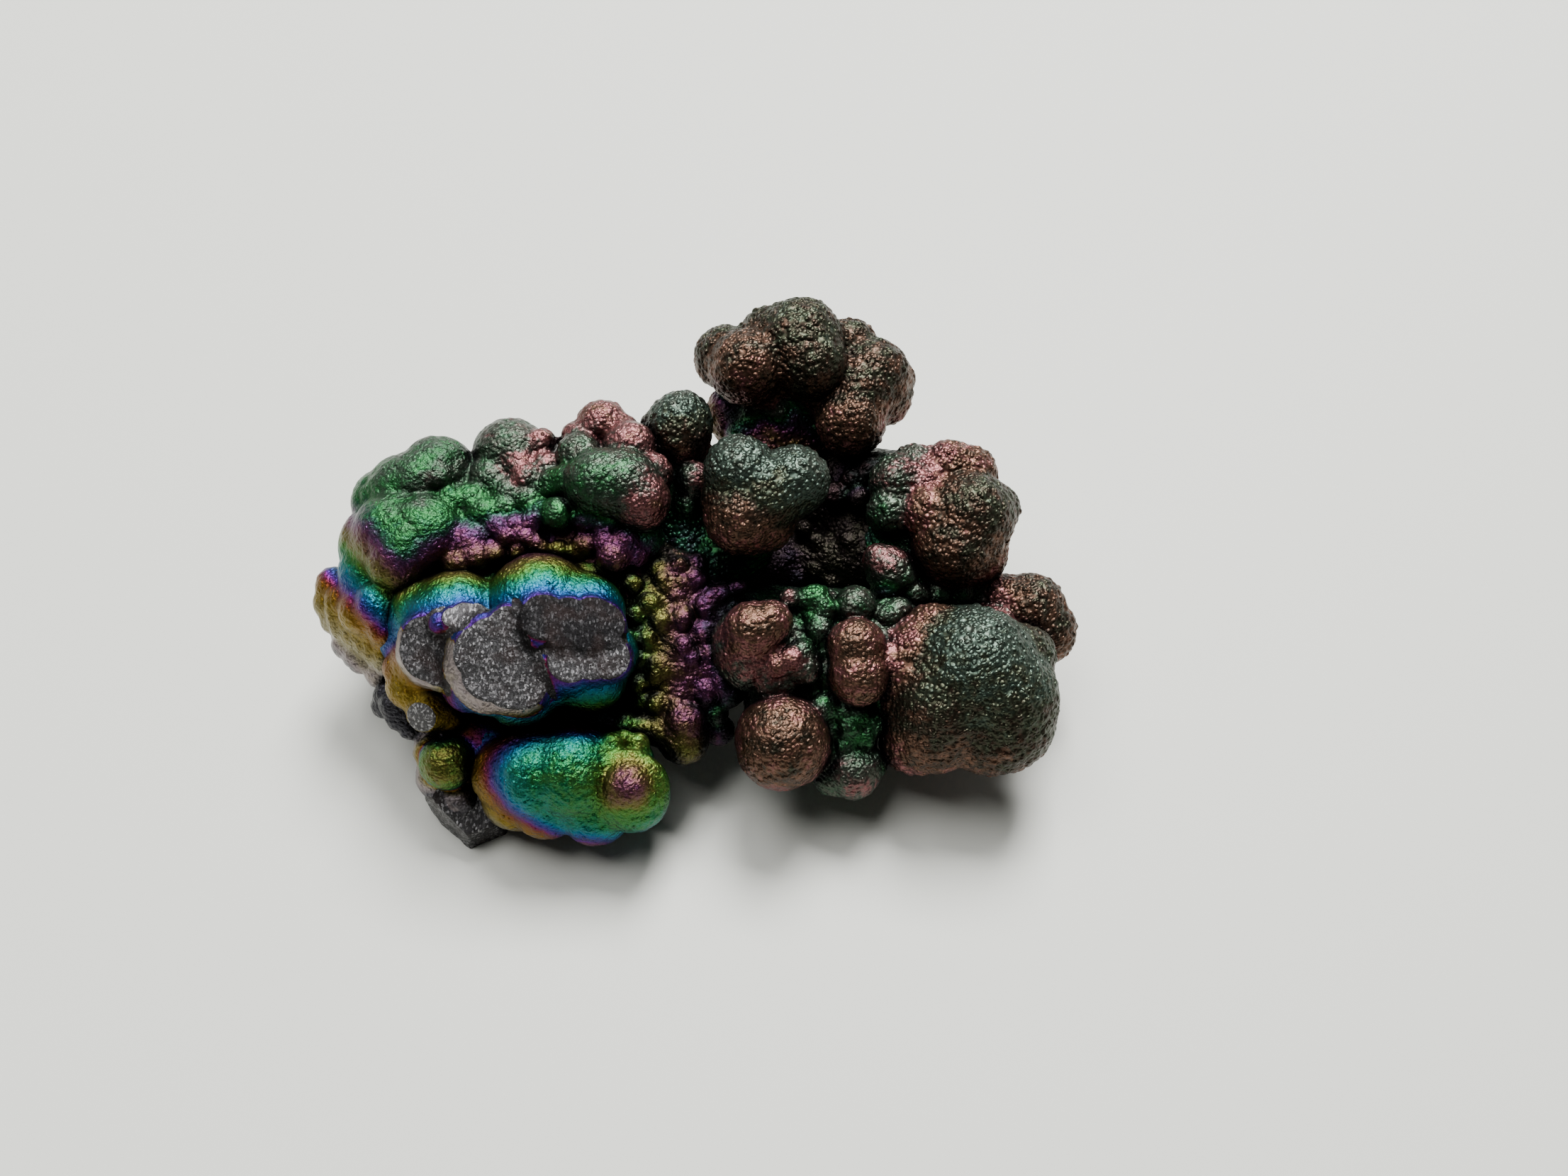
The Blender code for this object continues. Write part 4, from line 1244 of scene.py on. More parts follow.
@dataclass
class SnappedColumns(Cluster):
    """The columns in the middle, snapped off flat, with the gold lobe and dark beads under them."""

    name: str = "snapped_columns"
    grain: float = 0.08
    cell: float = 0.142
    law: FilmLaw = FilmLaw.ENDS
    growths: list[Ball] = listed(*with_film(700, [
        (-18.4, -7.0, 2.6, 2.9), (-13.7, -6.3, 2.2, 2.6), (-16.4, -6.0, 2.6, 2.6),
        (-21.8, -6.6, 2.8, 2.3), (-25.2, -5.0, 1.8, 2.4), (-12.4, -4.6, 1.8, 2.2),
        (-14.2, -2.0, 1.9, 3.1), (-20.6, -5.0, 2.6, 3.0), (-23.0, -2.2, 1.9, 3.5),
        (-17.2, -1.4, 1.6, 3.9), (-24.8, -1.8, 0.9, 3.0),
    ]))
    others: list[Group] = listed(
        ([
            (-27.0, -5.6, 1.6, 1.25, 420), (-26.3, -6.9, 1.5, 1.7, 340), (-24.8, -8.2, 1.5, 1.85, 320),
            (-23.9, -9.0, 1.0, 1.3, 320),
        ], FilmLaw.OWN, 0.05),
        ([
            (-28.0, -7.5, -0.7, 0.95, -120), (-27.4, -8.2, 0.0, 1.1, -110), (-27.1, -9.1, -0.3, 0.95, -90),
            (-26.3, -9.9, -0.4, 0.8, -70), (-28.2, -8.3, -1.1, 0.9, -120), (-26.2, -8.0, -1.0, 1.8, -60),
            (-24.9, -10.2, -1.0, 1.2, -20), (-24.7, -11.5, -0.4, 1.4, 180), (-24.5, -13.4, -0.8, 1.4, 90),
            (-22.9, -14.9, -0.4, 1.4, 60), (-23.4, -12.6, -1.6, 2.4, 60), (-23.7, -12.3, 0.9, 1.95, 935),
        ], FilmLaw.OWN, 0.3),
    )
    broken: list[Stub] = listed(
        stub("chip", -24.3, -2.3, 0.6, 0.8), stub("chip", -23.4, -2.1, 0.8, 1.0),
        stub("chip", -22.5, -1.9, 0.9, 1.1), stub("chip", -21.8, -1.8, 0.7, 0.9),
        stub("left", -25.0, -4.4, 1.95, 2.8), stub("left", -25.4, -3.7, 1.5, 2.2),
        stub("left", -25.0, -3.4, 1.2, 1.6), stub("left", -24.2, -5.0, 1.6, 2.4),
        stub("left", -23.9, -3.6, 1.4, 2.0),
        stub("sparkling", -21.2, -4.6, 2.2, 2.7), stub("sparkling", -20.6, -5.9, 2.3, 3.3),
        stub("sparkling", -19.2, -6.2, 2.2, 2.9), stub("sparkling", -18.6, -6.7, 1.7, 2.4),
        stub("sparkling", -19.8, -3.6, 1.7, 2.2), stub("sparkling", -20.9, -3.4, 1.3, 1.8),
        stub("sparkling", -22.0, -5.6, 1.2, 2.3), stub("sparkling", -19.5, -2.7, 1.1, 1.6),
        stub("dark", -16.9, -2.1, 1.85, 2.3), stub("dark", -15.2, -2.3, 1.65, 2.2),
        stub("dark", -13.5, -2.4, 1.6, 2.3), stub("dark", -12.9, -2.5, 1.4, 2.0),
        stub("dark", -15.8, -2.9, 1.3, 1.7), stub("dark", -13.9, -2.9, 1.3, 1.7),
        stub("dark", -17.5, -3.2, 0.8, 1.3),
        stub("pale", -15.1, -5.1, 1.75, 2.5), stub("pale", -13.6, -5.0, 1.4, 2.1),
        stub("pale", -12.4, -4.9, 1.3, 1.85), stub("pale", -16.2, -4.9, 0.9, 1.5),
        ("round", FilmLaw.OWN, (-25.26, -8.89, 2.41, 1.25, 330)),
        ("block", FilmLaw.OWN, (-22.9, -15.8, -0.7, 2.5, -80)),
        ("block", FilmLaw.OWN, (-21.4, -16.2, -0.9, 2.4, -80)),
    )
    stems: list[list[Ball]] = listed(
        [(-24.5, -2.5, -2.0, 4.6, 700), (-18.0, -3.5, -2.0, 5.6, 800), (-14.0, -1.5, -3.0, 5.0, 900)],
        [(-20.0, -8.0, -3.8, 3.7, 1200), (-14.0, -9.0, -3.6, 3.3, 1200)],
        [(-22.5, -11.0, -2.0, 2.8, 300), (-19.0, -11.5, -2.0, 3.0, 700)],
        [(-21.0, -0.6, -7.4, 5.4, 1400), (-19.0, -1.5, -6.0, 5.2, 1400)],
        [(-15.5, -9.6, -4.0, 3.6, 1300), (-16.5, -8.0, -4.0, 3.6, 1300)],
    )
    far_side: list[Parent] = listed(
        (-21.0, -0.6, -7.4, 5.4, 9), (-18.0, -3.5, -2.0, 5.6, 7), (-15.5, -9.6, -4.0, 3.6, 6),
        (-22.5, -11.0, -2.0, 2.8, 5), (-20.0, -8.0, -3.8, 3.7, 6),
    )


def snapped_ends() -> list[tuple[np.ndarray, np.ndarray, float]]:
    """The columns' snapped ends as discs.

    Returns:
        The middle, the facing and the radius of each.
    """
    found = []
    for name, law, ball in SnappedColumns().broken:
        if law is FilmLaw.ENDS:
            row = np.array([ball])
            centre, radius = SIGHT.place(row[:, :3])[0], SIGHT.radii(row)[0]
            point, plane = BREAKS[name].planes[0]
            height = (point - centre) @ plane
            found.append((centre + plane * height, plane, math.sqrt(max(radius**2 - height**2, 0.0))))
    return found


ENDS = snapped_ends()


@dataclass
class RainbowLobe(Cluster):
    """The smooth lobe at the lower left that shows the whole rainbow, and the collared knob on it."""

    name: str = "rainbow_lobe"
    grain: float = 0.12
    cell: float = 0.125
    lump: float = 0.15
    lump_size: float = 1.25
    wrinkle: float = 0.035
    law: FilmLaw = FilmLaw.LOBE
    growths: list[Ball] = listed(*with_film(800, [
        (-17.6, -13.0, 2.0, 3.3), (-14.9, -13.0, 2.3, 3.3), (-19.3, -13.2, 1.2, 2.7),
        (-16.6, -15.0, 1.0, 2.7), (-13.3, -15.3, 1.0, 2.8), (-19.0, -14.8, 0.4, 2.3),
        (-12.4, -12.9, 2.0, 2.2), (-10.8, -14.4, 2.2, 2.8), (-13.7, -10.9, 2.2, 1.0),
        (-15.4, -11.2, 1.3, 1.9), (-17.9, -11.6, 0.8, 1.9),
    ]))
    others: list[Group] = listed(
        ([
            (-11.0, -13.9, 3.9, 1.75, 1085), (-12.2, -11.1, 2.8, 0.95, 930), (-10.3, -11.0, 2.2, 0.8, 930),
            (-10.4, -12.0, 2.0, 1.1, 930), (-11.3, -10.6, 2.3, 0.6, 900), (-13.0, -11.9, 3.2, 0.7, 880),
        ], FilmLaw.OWN, 0.25),
        (collar(-11.1, -14.1, 3.2, 2.2, 0.75, 915), FilmLaw.OWN, 0.2),
    )
    stems: list[list[Ball]] = listed(
        [(-20.5, -11.6, -1.8, 2.9, 700), (-14.0, -12.5, -1.6, 3.4, 800)],
    )
    far_side: list[Parent] = listed(
        (-16.0, -13.5, 0.6, 4.0, 6),
    )


@dataclass
class Neck(Cluster):
    """The low neck of small beads between the mass and the arms."""

    name: str = "neck"
    grain: float = 0.3
    # Painted shade added all over the neck, which lies deep
    added_shade: float = 0.32
    cell: float = 0.14
    others: list[Group] = listed(
        ([
            (-9.5, -1.2, 0.9, 0.85, 930), (-8.7, -2.4, 1.1, 0.85, 950), (-7.2, -2.2, 0.9, 0.8, 1090),
            (-9.8, -3.6, 1.2, 0.8, 900), (-11.0, -3.5, 1.6, 0.7, 790), (-9.0, -5.4, 1.2, 0.8, 930),
            (-9.1, -6.3, 1.2, 0.8, 930), (-10.2, -5.0, 1.2, 0.6, 880), (-10.3, -6.8, 1.2, 0.7, 880),
            (-7.1, -4.1, 1.2, 0.8, 1120), (-6.5, -4.9, 1.1, 0.75, 1130), (-7.5, -5.8, 1.0, 0.6, 1100),
            (-6.6, -6.4, 0.9, 0.75, 1130), (-5.6, -7.3, 0.8, 0.95, 1120), (-7.2, -7.4, 0.8, 0.8, 1060),
            (-4.5, -6.2, 0.6, 0.95, 1170), (-3.8, -7.4, 0.4, 1.0, 1250), (-5.5, -5.8, 0.7, 0.6, 1140),
            (-6.3, 0.5, -0.2, 1.0, 1130), (-7.8, 1.3, -0.4, 0.85, 1070), (-6.1, 1.8, -0.9, 0.7, 1120),
            (-4.1, 1.7, -1.2, 0.8, 1400), (-3.0, 1.8, -1.5, 0.6, 1400), (-9.0, 1.3, -0.2, 0.8, 950),
            (-10.7, 0.3, 0.9, 0.8, 930), (-7.6, -0.6, 0.3, 0.7, 1110), (-5.6, -1.2, 0.4, 0.8, 1130),
            (-4.4, -0.5, 0.0, 0.8, 1140), (-3.2, 0.0, 0.0, 0.6, 1140), (-8.3, 0.0, 0.3, 0.7, 1000),
            (-5.9, -3.1, 0.6, 0.7, 1140), (-5.0, -4.6, 0.4, 0.6, 1160), (-5.2, -2.4, 0.3, 0.6, 1150),
            (-9.0, -8.2, 1.2, 0.85, 920), (-7.6, -8.4, 1.4, 0.6, 1020), (-7.0, -9.5, 1.2, 1.5, 1090),
            (-7.1, -10.7, 0.6, 1.8, 960), (-8.8, -10.0, 0.8, 1.2, 950), (-4.8, -8.8, 0.0, 0.9, 1550),
            (-4.6, -10.0, -0.8, 1.1, 1130), (-9.9, -9.8, 1.0, 0.9, 920), (-11.2, -9.7, 1.2, 0.9, 860),
            (-8.0, -3.5, 0.9, 0.65, 1040), (-8.2, -4.6, 0.9, 0.6, 1000), (-10.6, -1.9, 1.2, 0.7, 900),
            (-10.0, -8.0, 0.9, 0.7, 880), (-8.2, -7.2, 0.8, 0.7, 960), (-6.0, -8.6, 0.4, 0.7, 1120),
        ], FilmLaw.OWN, 0.3),
    )
    stems: list[list[Ball]] = listed(
        [(-9.5, 0.5, -3.0, 3.2, 960), (-8.8, -5.5, -2.2, 3.3, 960), (-9.0, -9.0, -1.4, 2.0, 960)],
        [(-9.0, -4.5, -2.6, 3.4, 1000), (-4.5, -4.8, -2.4, 2.9, 1150), (-1.0, -5.0, -1.6, 3.0, 1400)],
        [(-5.0, -2.0, -4.6, 2.6, 1200), (1.0, -2.2, -5.5, 2.4, 1400)],
        [(-7.6, 0.4, -1.7, 2.3, 1060), (-7.6, -5.0, -0.8, 2.3, 1060), (-7.4, -8.6, -0.5, 1.9, 1060)],
        [(-5.0, -1.4, -1.6, 2.2, 1140), (-4.8, -5.8, -0.9, 2.2, 1150)],
        [(-9.6, -1.0, -0.9, 2.0, 900), (-9.7, -6.0, -0.5, 1.9, 900)],
    )
    near_side: list[Parent] = listed(
        (-7.7, 0.2, -1.6, 2.3, 12), (-7.6, -3.0, -1.1, 2.3, 14), (-7.6, -6.0, -0.8, 2.3, 14),
        (-5.0, -1.6, -1.6, 2.2, 14), (-4.9, -4.4, -1.1, 2.2, 14), (-4.8, -6.6, -0.9, 2.1, 12),
        (-9.7, -2.0, -0.9, 2.0, 14), (-9.7, -5.0, -0.6, 1.9, 14), (-7.4, -8.8, -0.5, 1.9, 10),
    )
    far_side: list[Parent] = listed(
        (-8.8, -5.5, -2.6, 3.4, 5), (-4.5, -4.8, -2.4, 2.9, 6), (-1.0, -2.2, -5.3, 2.5, 6),
    )


@dataclass
class PinkKnobs(Cluster):
    """The lower arm's three pink knobs, with emerald beads between them."""

    name: str = "pink_knobs"
    grain: float = 0.5
    slope: Place = (0.0, 0.0, 22.0)
    cell: float = 0.13
    growths: list[Ball] = listed(
        (5.1, -4.2, 2.2, 2.1, 1590), (5.3, -6.1, 2.4, 2.2, 1590), (7.8, -5.2, 1.6, 1.6, 1590),
        (-0.9, -2.4, 2.5, 1.6, 1580), (-2.2, -3.0, 2.4, 2.1, 1580), (-2.5, -4.0, 2.0, 1.6, 1590),
        (-0.5, -5.5, 2.6, 0.95, 1570), (0.5, -5.0, 2.6, 1.0, 1570), (-2.2, -4.2, 0.4, 3.1, 1450),
        (-0.6, -6.4, 1.2, 1.7, 1460), (1.2, -5.6, 1.8, 1.3, 1430),
        (-0.1, -10.9, 1.8, 3.4, 1590), (2.3, -0.7, 0.9, 1.0, 1340), (2.9, -1.5, 1.2, 0.9, 1350),
        (1.5, -0.8, 0.9, 0.8, 1350), (2.4, -2.9, 1.4, 1.0, 1350), (5.0, -1.3, 0.7, 1.5, 1430),
        (7.3, -2.1, 0.6, 1.1, 1410), (8.2, -1.5, 0.4, 0.9, 1440), (1.3, -4.5, 2.0, 0.95, 1390),
        (1.6, -5.7, 2.1, 1.0, 1480), (0.4, -0.8, 1.3, 0.75, 1480), (2.9, -8.4, 1.7, 1.0, 1350),
        (3.3, -6.0, 1.0, 1.1, 1350), (4.2, -8.7, 1.5, 0.85, 1340), (5.3, -8.9, 1.5, 0.8, 1330),
        (4.7, -9.9, 1.7, 0.9, 1340), (5.6, -10.6, 1.4, 0.85, 1330), (4.3, -11.1, 1.3, 0.8, 1350),
        (6.2, -9.6, 1.0, 0.95, 1340), (3.6, -9.8, 1.0, 0.9, 1340), (4.9, -13.0, 0.8, 1.9, 1470),
        (3.4, -13.4, 0.4, 1.3, 1400), (6.0, -12.4, 0.4, 1.2, 1380), (3.0, -11.8, 0.2, 1.5, 1360),
    )
    stems: list[list[Ball]] = listed(
        [(-1.0, -5.0, -1.6, 3.0, 1400), (3.0, -5.6, -1.8, 2.7, 1370), (7.0, -5.6, -1.6, 3.0, 1400)],
        [(-0.5, -6.0, -1.2, 2.4, 1380), (0.0, -10.0, -0.2, 2.6, 1380)],
        [(5.0, -6.0, -1.4, 2.1, 1320), (4.8, -12.4, -1.0, 1.5, 1320)],
        [(1.0, -2.2, -5.5, 2.4, 1400), (8.0, -2.6, -5.9, 2.4, 1400)],
        [(2.0, -2.2, -0.7, 2.0, 1340), (3.0, -6.4, -0.8, 1.9, 1320), (4.7, -10.0, -0.6, 1.7, 1320)],
        [(7.6, -2.4, -1.6, 2.0, 1360), (7.2, -8.0, -0.9, 2.1, 1350)],
        [(-1.0, -3.4, -0.8, 2.6, 1400), (2.6, -4.2, -1.0, 2.6, 1360), (5.4, -3.6, -0.8, 2.4, 1360)],
        [(3.0, -5.6, -1.8, 2.7, 1370), (3.0, -2.6, -4.6, 2.6, 1400)],
    )
    near_side: list[Parent] = listed(
        (2.0, -2.4, -0.7, 2.0, 14), (2.6, -5.0, -0.6, 2.1, 14), (3.6, -7.6, -0.5, 2.1, 16),
        (4.7, -10.0, -0.4, 2.0, 16), (7.5, -3.4, -1.4, 2.0, 12), (7.2, -7.6, -0.9, 2.1, 14),
    )
    far_side: list[Parent] = listed(
        (-0.1, -10.9, 1.4, 3.4, 6), (-1.0, -5.0, -1.6, 3.0, 5), (3.0, -5.6, -1.8, 2.7, 5),
        (0.5, -5.2, -1.8, 2.9, 6), (3.4, -2.3, -5.6, 2.4, 6),
    )


@dataclass
class CrownAndKnobs(Cluster):
    """The crown, the furthest arm, with the lone round knob and the teal and brown knob before it."""

    name: str = "crown_and_knobs"
    grain: float = 1.0
    slope: Place = (0.0, 16.0, 6.0)
    fillet: float = 0.2
    growths: list[Ball] = listed(
        (-4.2, 16.3, -6.6, 2.2, 1700), (-2.6, 15.6, -4.6, 2.7, 1630), (1.1, 17.3, -5.6, 3.15, 1690),
        (1.9, 15.8, -4.6, 2.6, 1700), (-0.9, 17.6, -6.4, 2.3, 1690), (4.6, 17.1, -7.2, 1.95, 1670),
        (6.2, 14.9, -6.5, 2.7, 1660), (4.7, 11.7, -5.2, 2.5, 1630), (5.5, 13.7, -5.7, 2.4, 1680),
        (7.0, 13.4, -7.2, 2.0, 1650), (2.6, 14.3, -6.6, 2.4, 1670), (-1.2, 14.6, -6.8, 2.4, 1660),
        (-7.3, 11.5, -2.5, 2.35, 1830), (-7.3, 10.7, -2.1, 2.1, 1640),
        (-9.2, 11.3, -3.0, 1.0, 1620), (-8.6, 10.0, -3.0, 1.2, 1560),
        (-3.1, 8.2, 0.6, 2.6, 1815), (0.8, 7.6, 0.3, 2.5, 1825), (-3.0, 5.0, 0.8, 2.65, 1640),
        (-1.2, 6.6, 0.7, 2.7, 1760), (-4.2, 6.4, 0.3, 1.7, 1650), (-1.3, 4.4, 0.2, 1.9, 1610),
    )
    others: list[Group] = listed(
        ([
            (-6.3, 7.6, -1.5, 1.3, 1440), (-6.8, 5.8, -1.8, 0.9, 1380),
            (-0.4, 12.6, -6.2, 0.95, 1610), (0.5, 11.8, -6.7, 0.95, 1330), (-2.3, 12.1, -6.5, 0.8, 1420),
            (-4.0, 12.4, -5.9, 0.5, 1580), (-3.1, 11.0, -7.0, 0.9, 1340), (1.9, 11.3, -7.2, 0.8, 1330),
        ], FilmLaw.OWN, 0.4),
    )
    stems: list[list[Ball]] = listed(
        [(-10.0, 7.2, -3.6, 2.6, 1400), (-7.0, 8.6, -4.4, 2.2, 1400), (-7.2, 4.4, -4.2, 2.2, 1250),
         (-7.0, 0.0, -4.4, 2.8, 1150)],
        [(-7.0, 0.0, -4.4, 2.8, 1150), (-3.4, 3.2, -4.6, 2.6, 1350), (-2.4, 6.4, -2.2, 2.2, 1400)],
        [(-4.0, 1.5, -6.2, 2.6, 1060), (-2.6, 6.0, -8.4, 2.6, 1020), (-1.0, 10.4, -9.0, 2.5, 1010),
         (1.4, 14.4, -8.2, 2.8, 1040)],
        [(-3.6, 12.4, -9.0, 1.9, 1010), (-1.0, 10.4, -9.0, 2.5, 1010), (2.6, 10.6, -9.0, 1.7, 1010)],
    )
    far_side: list[Parent] = listed(
        (1.1, 17.3, -5.6, 3.15, 6), (6.2, 14.9, -6.5, 2.7, 5), (-3.0, 15.6, -5.6, 2.7, 5),
        (-1.2, 6.6, 0.4, 3.0, 5), (-7.3, 11.3, -2.6, 2.5, 4), (-2.6, 6.0, -8.4, 2.6, 6),
        (-1.0, 10.4, -9.0, 2.5, 6), (1.4, 14.4, -8.2, 2.8, 6), (-5.0, 2.0, -5.6, 2.8, 6),
    )
    cell: float = 0.138
    hidden_film: float = 1680.0


@dataclass
class RightArms(Cluster):
    """The upper and the far arm at the right, with the knob in the crook between them."""

    name: str = "right_arms"
    grain: float = 1.0
    slope: Place = (6.0, 12.0, 14.0)
    fillet: float = 0.2
    growths: list[Ball] = listed(
        (8.0, 7.5, -3.4, 2.0, 1450), (7.5, 5.3, -2.9, 1.7, 1400), (9.1, 8.6, -4.2, 1.6, 1480),
        (11.6, 8.5, -4.1, 1.95, 1570), (13.1, 8.1, -4.3, 1.95, 1580), (13.1, 5.0, -2.4, 3.2, 1660),
        (10.2, 5.3, -2.1, 2.0, 1580), (12.0, 2.9, -2.0, 2.9, 1640), (15.0, 5.6, -3.2, 1.6, 1720),
        (10.0, 7.2, -3.2, 1.6, 1540), (13.6, 2.4, -3.0, 2.2, 1600),
        (17.3, -1.5, -4.0, 2.6, 1640), (18.4, -3.0, -3.9, 2.3, 1650), (15.4, -0.7, -3.9, 1.7, 1590),
        (17.2, -3.4, -4.4, 2.2, 1640),
    )
    others: list[Group] = listed(
        ([
            (6.6, 2.1, -1.7, 1.05, 1530), (7.4, 1.3, -1.9, 1.7, 1500), (8.3, 0.8, -1.3, 0.95, 1400),
            (7.3, -0.1, -1.4, 1.0, 1170), (9.3, -0.5, -1.7, 0.95, 1440), (10.8, -0.5, -2.4, 0.8, 1340),
            (12.6, -0.5, -2.8, 0.8, 1340),
        ], FilmLaw.OWN, 0.4),
    )
    stems: list[list[Ball]] = listed(
        [(6.4, 2.0, -6.8, 2.5, 1200), (11.5, 4.4, -5.0, 2.8, 1400)],
        [(8.0, 7.6, -6.2, 2.0, 1450), (11.5, 4.4, -5.0, 2.8, 1400)],
        [(8.8, 0.0, -5.8, 2.1, 1300), (10.5, -3.6, -3.2, 2.4, 1400)],
        [(8.8, 0.0, -5.8, 2.1, 1300), (11.5, 4.4, -5.0, 2.8, 1400)],
        [(12.0, 0.6, -5.0, 1.8, 1340), (15.0, -1.6, -5.2, 1.8, 1500)],
        [(15.6, -2.4, -4.4, 2.2, 1500), (16.6, -2.0, -4.4, 2.2, 1500)],
    )
    far_side: list[Parent] = listed(
        (13.1, 5.0, -2.8, 3.2, 6), (17.3, -2.3, -4.2, 2.6, 5), (11.5, 4.4, -5.0, 2.8, 5),
    )
    cell: float = 0.13
    hidden_film: float = 1680.0


@dataclass
class BeadedHollow(Cluster):
    """The deep hollow between the crown and the right arms, with beads on its floor."""

    name: str = "beaded_hollow"
    grain: float = 0.4
    # Painted shade added all over the hollow, which lies deep
    added_shade: float = 0.95
    growths: list[Ball] = listed(
        (1.4, 4.1, -5.4, 0.7, 1000), (2.3, 3.2, -5.6, 0.75, 960), (4.6, 3.2, -5.2, 0.85, 1010),
        (3.2, 2.6, -5.7, 0.6, 930), (3.4, 1.5, -5.4, 0.75, 960), (0.3, 2.2, -5.4, 0.7, 1380),
        (0.8, 0.6, -5.2, 0.75, 1340), (3.3, 0.4, -5.2, 0.7, 960), (-1.0, 0.8, -5.0, 0.7, 1480),
        (5.2, 6.3, -5.0, 0.9, 960), (3.6, 6.5, -5.4, 1.0, 1600), (4.9, 7.6, -5.3, 0.9, 1580),
        (6.0, 8.4, -5.4, 0.85, 1570), (2.0, 1.2, -5.2, 0.7, 940), (-2.2, 2.4, -4.6, 0.8, 1400),
    )
    stems: list[list[Ball]] = listed(
        [(-4.0, 0.5, -6.0, 2.6, 1060), (1.0, 1.6, -7.6, 2.4, 1010), (6.4, 2.0, -6.8, 2.5, 1010)],
        [(6.4, 2.0, -6.8, 2.5, 1010), (4.6, 3.8, -7.8, 2.3, 1010), (4.4, 8.0, -8.4, 2.0, 1010),
         (8.0, 7.6, -6.2, 2.0, 1450)],
        [(0.0, 5.0, -9.0, 2.4, 1010), (4.0, 6.6, -9.0, 2.2, 1010)],
    )
    far_side: list[Parent] = listed(
        (1.0, 1.6, -7.6, 2.4, 6), (6.4, 2.0, -6.8, 2.5, 6), (4.4, 8.0, -8.4, 2.0, 5),
        (4.0, 6.6, -9.0, 2.2, 5),
    )
    cell: float = 0.17
    hidden_film: float = 1500.0


@dataclass
class FrontKnob(Cluster):
    """The biggest knob, dark and granular, on the arm nearest the viewer."""

    name: str = "front_knob"
    grain: float = 1.0
    cell: float = 0.125
    slope: Place = (4.0, 12.0, 8.0)
    fillet: float = 0.3
    growths: list[Ball] = listed(
        (13.3, -5.7, 1.0, 4.5, 1775), (15.4, -7.6, 1.4, 3.9, 1740), (11.3, -8.0, 1.2, 3.9, 1715),
        (15.5, -9.4, 1.0, 3.5, 1715), (10.6, -9.7, 0.8, 3.3, 1660), (14.3, -10.2, 0.9, 2.9, 1690),
        (9.0, -10.7, 0.0, 2.3, 1590), (9.3, -4.2, 1.2, 2.0, 1590), (10.4, -2.8, 0.6, 1.8, 1590),
        (8.6, -5.8, 1.5, 2.0, 1595), (8.5, -7.5, 1.1, 1.75, 1595),
        (17.0, -4.8, 0.0, 2.2, 1700),
    )
    stems: list[list[Ball]] = listed(
        [(7.0, -5.6, -1.6, 3.0, 1400), (12.5, -6.5, -0.8, 3.6, 1500)],
        [(11.5, -6.0, -1.6, 2.8, 1500), (15.6, -2.4, -4.4, 2.2, 1500)],
        [(5.4, -3.6, -0.8, 2.4, 1360), (9.4, -4.6, -1.4, 2.6, 1450)],
        [(6.0, -4.6, -5.4, 2.8, 1500), (9.6, -3.4, -7.9, 3.3, 1500), (12.0, -5.0, -4.6, 2.8, 1500)],
    )
    far_side: list[Parent] = listed(
        (14.0, -7.5, 0.6, 4.2, 8), (9.6, -3.4, -7.9, 3.3, 6), (7.0, -5.6, -1.6, 3.0, 6),
        (12.0, -6.4, -0.8, 3.5, 7),
    )
    hidden_film: float = 1680.0


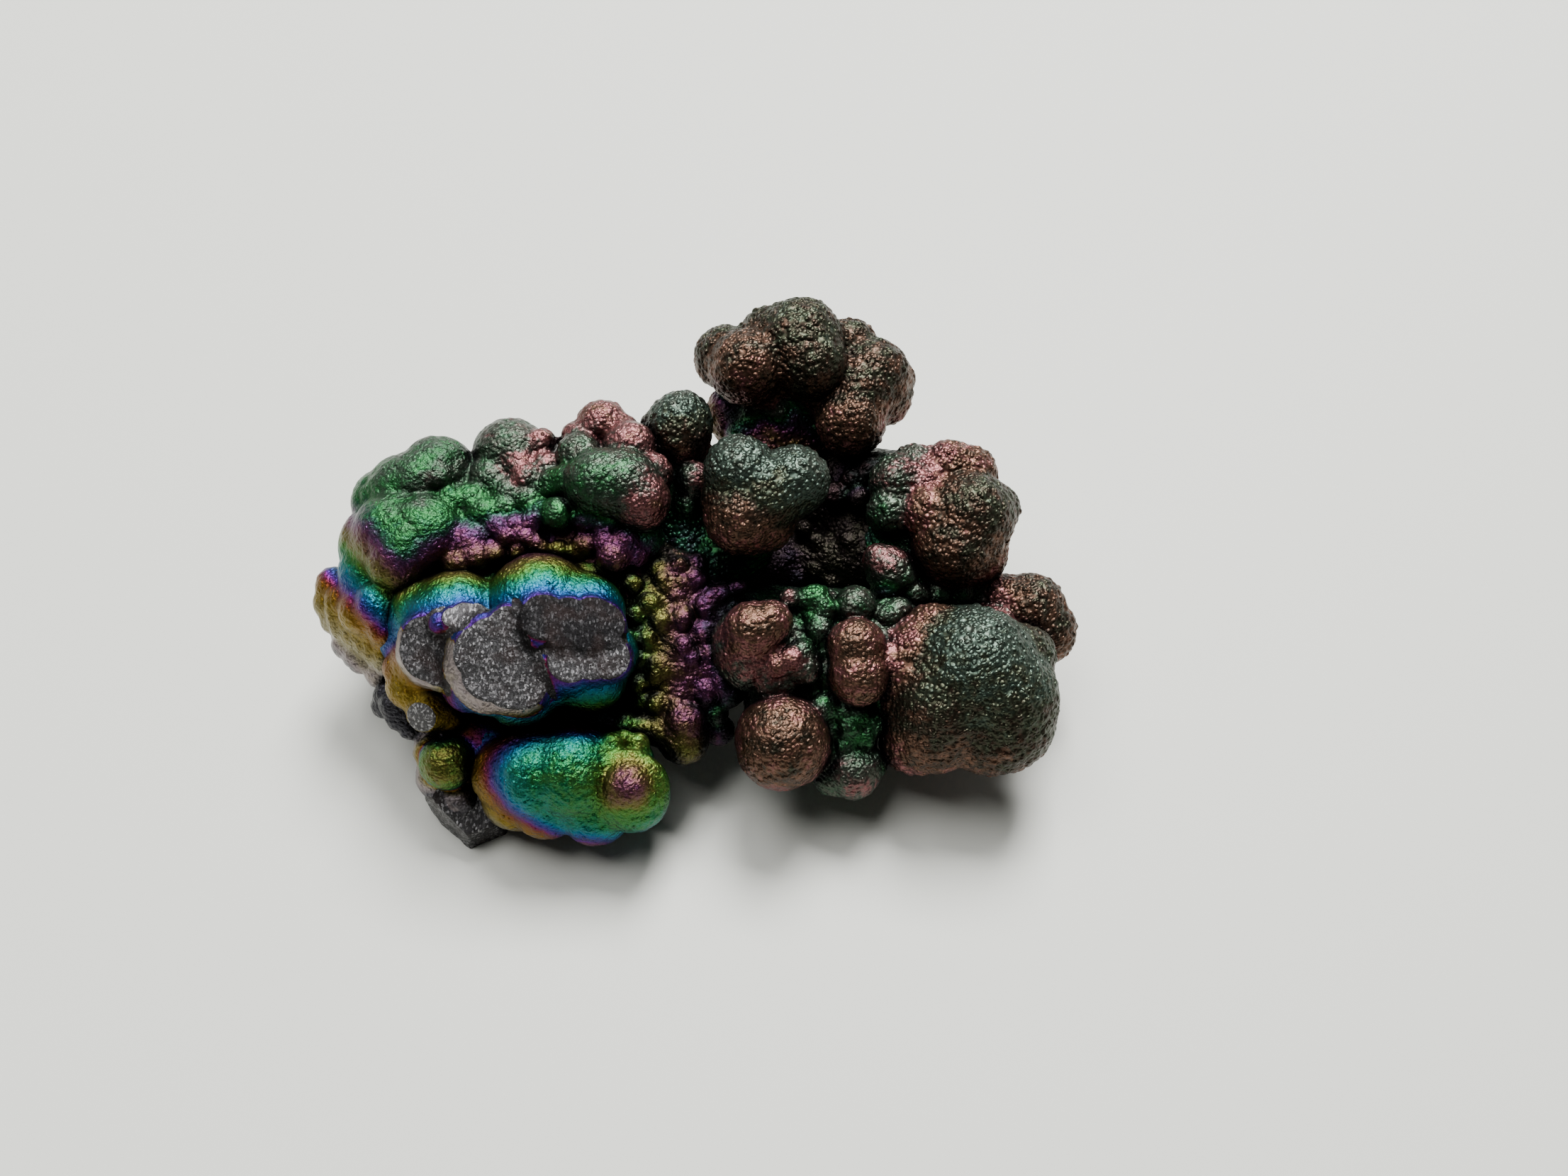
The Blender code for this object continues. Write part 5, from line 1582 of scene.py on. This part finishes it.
@dataclass
class Studio:
    """A plain pale floor, soft light from above and behind, and the camera."""

    floor_colour: str = "#d2d3cb"
    floor_size: float = 3.0
    picture_width: float = 110.6
    # The window side of the room is bright and the viewer's side is dim
    front_glow: float = 0.03
    back_glow: float = 0.45

    def floor(self) -> None:
        """Lays the plain floor at the specimen's resting height."""
        bm = bmesh.new()
        bmesh.ops.create_grid(bm, x_segments=1, y_segments=1, size=self.floor_size / 2)
        mesh = bpy.data.meshes.new("floor")
        bm.to_mesh(mesh)
        bm.free()
        made, tree = blank("plain_sheet")
        shader = add(tree, "BsdfPrincipled", Base_Color=linear(self.floor_colour), Roughness=0.6)
        add(tree, "OutputMaterial", Surface=shader.outputs[0])
        mesh.materials.append(made)
        floor = bpy.data.objects.new("floor", mesh)
        bpy.context.scene.collection.objects.link(floor)

    def lamp(self, name: str, place: Place, size: float, power: float) -> None:
        """Hangs one square soft light, aimed at the specimen.

        Args:
            name: the light's name.
            place: where it hangs, in metres.
            size: its side in metres.
            power: its power in watts.
        """
        light = bpy.data.lights.new(name, "AREA")
        light.size = size
        light.energy = power
        lamp = bpy.data.objects.new(name, light)
        bpy.context.scene.collection.objects.link(lamp)
        lamp.location = place
        lamp.rotation_euler = (Vector((0, 0, 0.01)) - lamp.location).to_track_quat("-Z", "Y").to_euler()

    def lights(self) -> None:
        """Hangs the lights and sets the room's own glow."""
        self.lamp("window", (0.10, 0.36, 0.57), 0.28, 11.0)
        self.lamp("ceiling", (-0.24, 0.12, 0.74), 0.5, 5.0)
        world = bpy.data.worlds.new("room")
        bpy.context.scene.world = world
        world.use_nodes = True
        tree = world.node_tree
        tree.nodes.clear()
        where = add(tree, "TexCoord").outputs["Generated"]
        eye, aim = SIGHT.place(np.array([(0.0, 0.0, SIGHT.eye_distance), (0.0, 0.0, 0.0)]))
        toward = Vector(eye - aim).normalized()
        nearness = add(tree, "VectorMath", {"operation": "DOT_PRODUCT"}, in0=where, in1=toward)
        glow = add(tree, "MapRange", {"interpolation_type": "SMOOTHSTEP"}, in0=nearness.outputs[1],
                   in1=-0.1, in2=0.7, in3=self.back_glow, in4=self.front_glow)
        sky = add(tree, "Background", Color=linear("#f4f6f5"), Strength=glow.outputs[0])
        add(tree, "OutputWorld", Surface=sky.outputs[0])

    def camera(self) -> None:
        """Sets the camera on the line of sight."""
        data = bpy.data.cameras.new("camera")
        data.sensor_width = 36.0
        data.lens = data.sensor_width * SIGHT.eye_distance / self.picture_width
        data.clip_start = 0.002
        camera = bpy.data.objects.new("camera", data)
        bpy.context.scene.collection.objects.link(camera)
        eye, aim = SIGHT.place(np.array([(0.0, 0.0, SIGHT.eye_distance), (0.0, 0.0, 0.0)])) * MM
        camera.location = eye
        camera.rotation_euler = (Vector(aim) - Vector(eye)).to_track_quat("-Z", "Y").to_euler()
        bpy.context.scene.camera = camera


def main() -> None:
    """Builds the specimen, its floor, its light and the camera."""
    logging.basicConfig(level=logging.INFO, format="%(message)s")
    studio = Studio()
    studio.camera()
    studio.lights()
    studio.floor()
    finish = Goethite().material()
    parts = [DomedShoulder(), SnappedColumns(), RainbowLobe(), Neck(), PinkKnobs(), CrownAndKnobs(),
             RightArms(), BeadedHollow(), FrontKnob()]
    gathered = [part.gather() for part in parts]
    for part, growths in zip(parts, gathered):
        others = [other for other in gathered if other is not growths]
        part.build(growths, Growths.joined(others), finish)


if __name__ == "__main__":
    main()
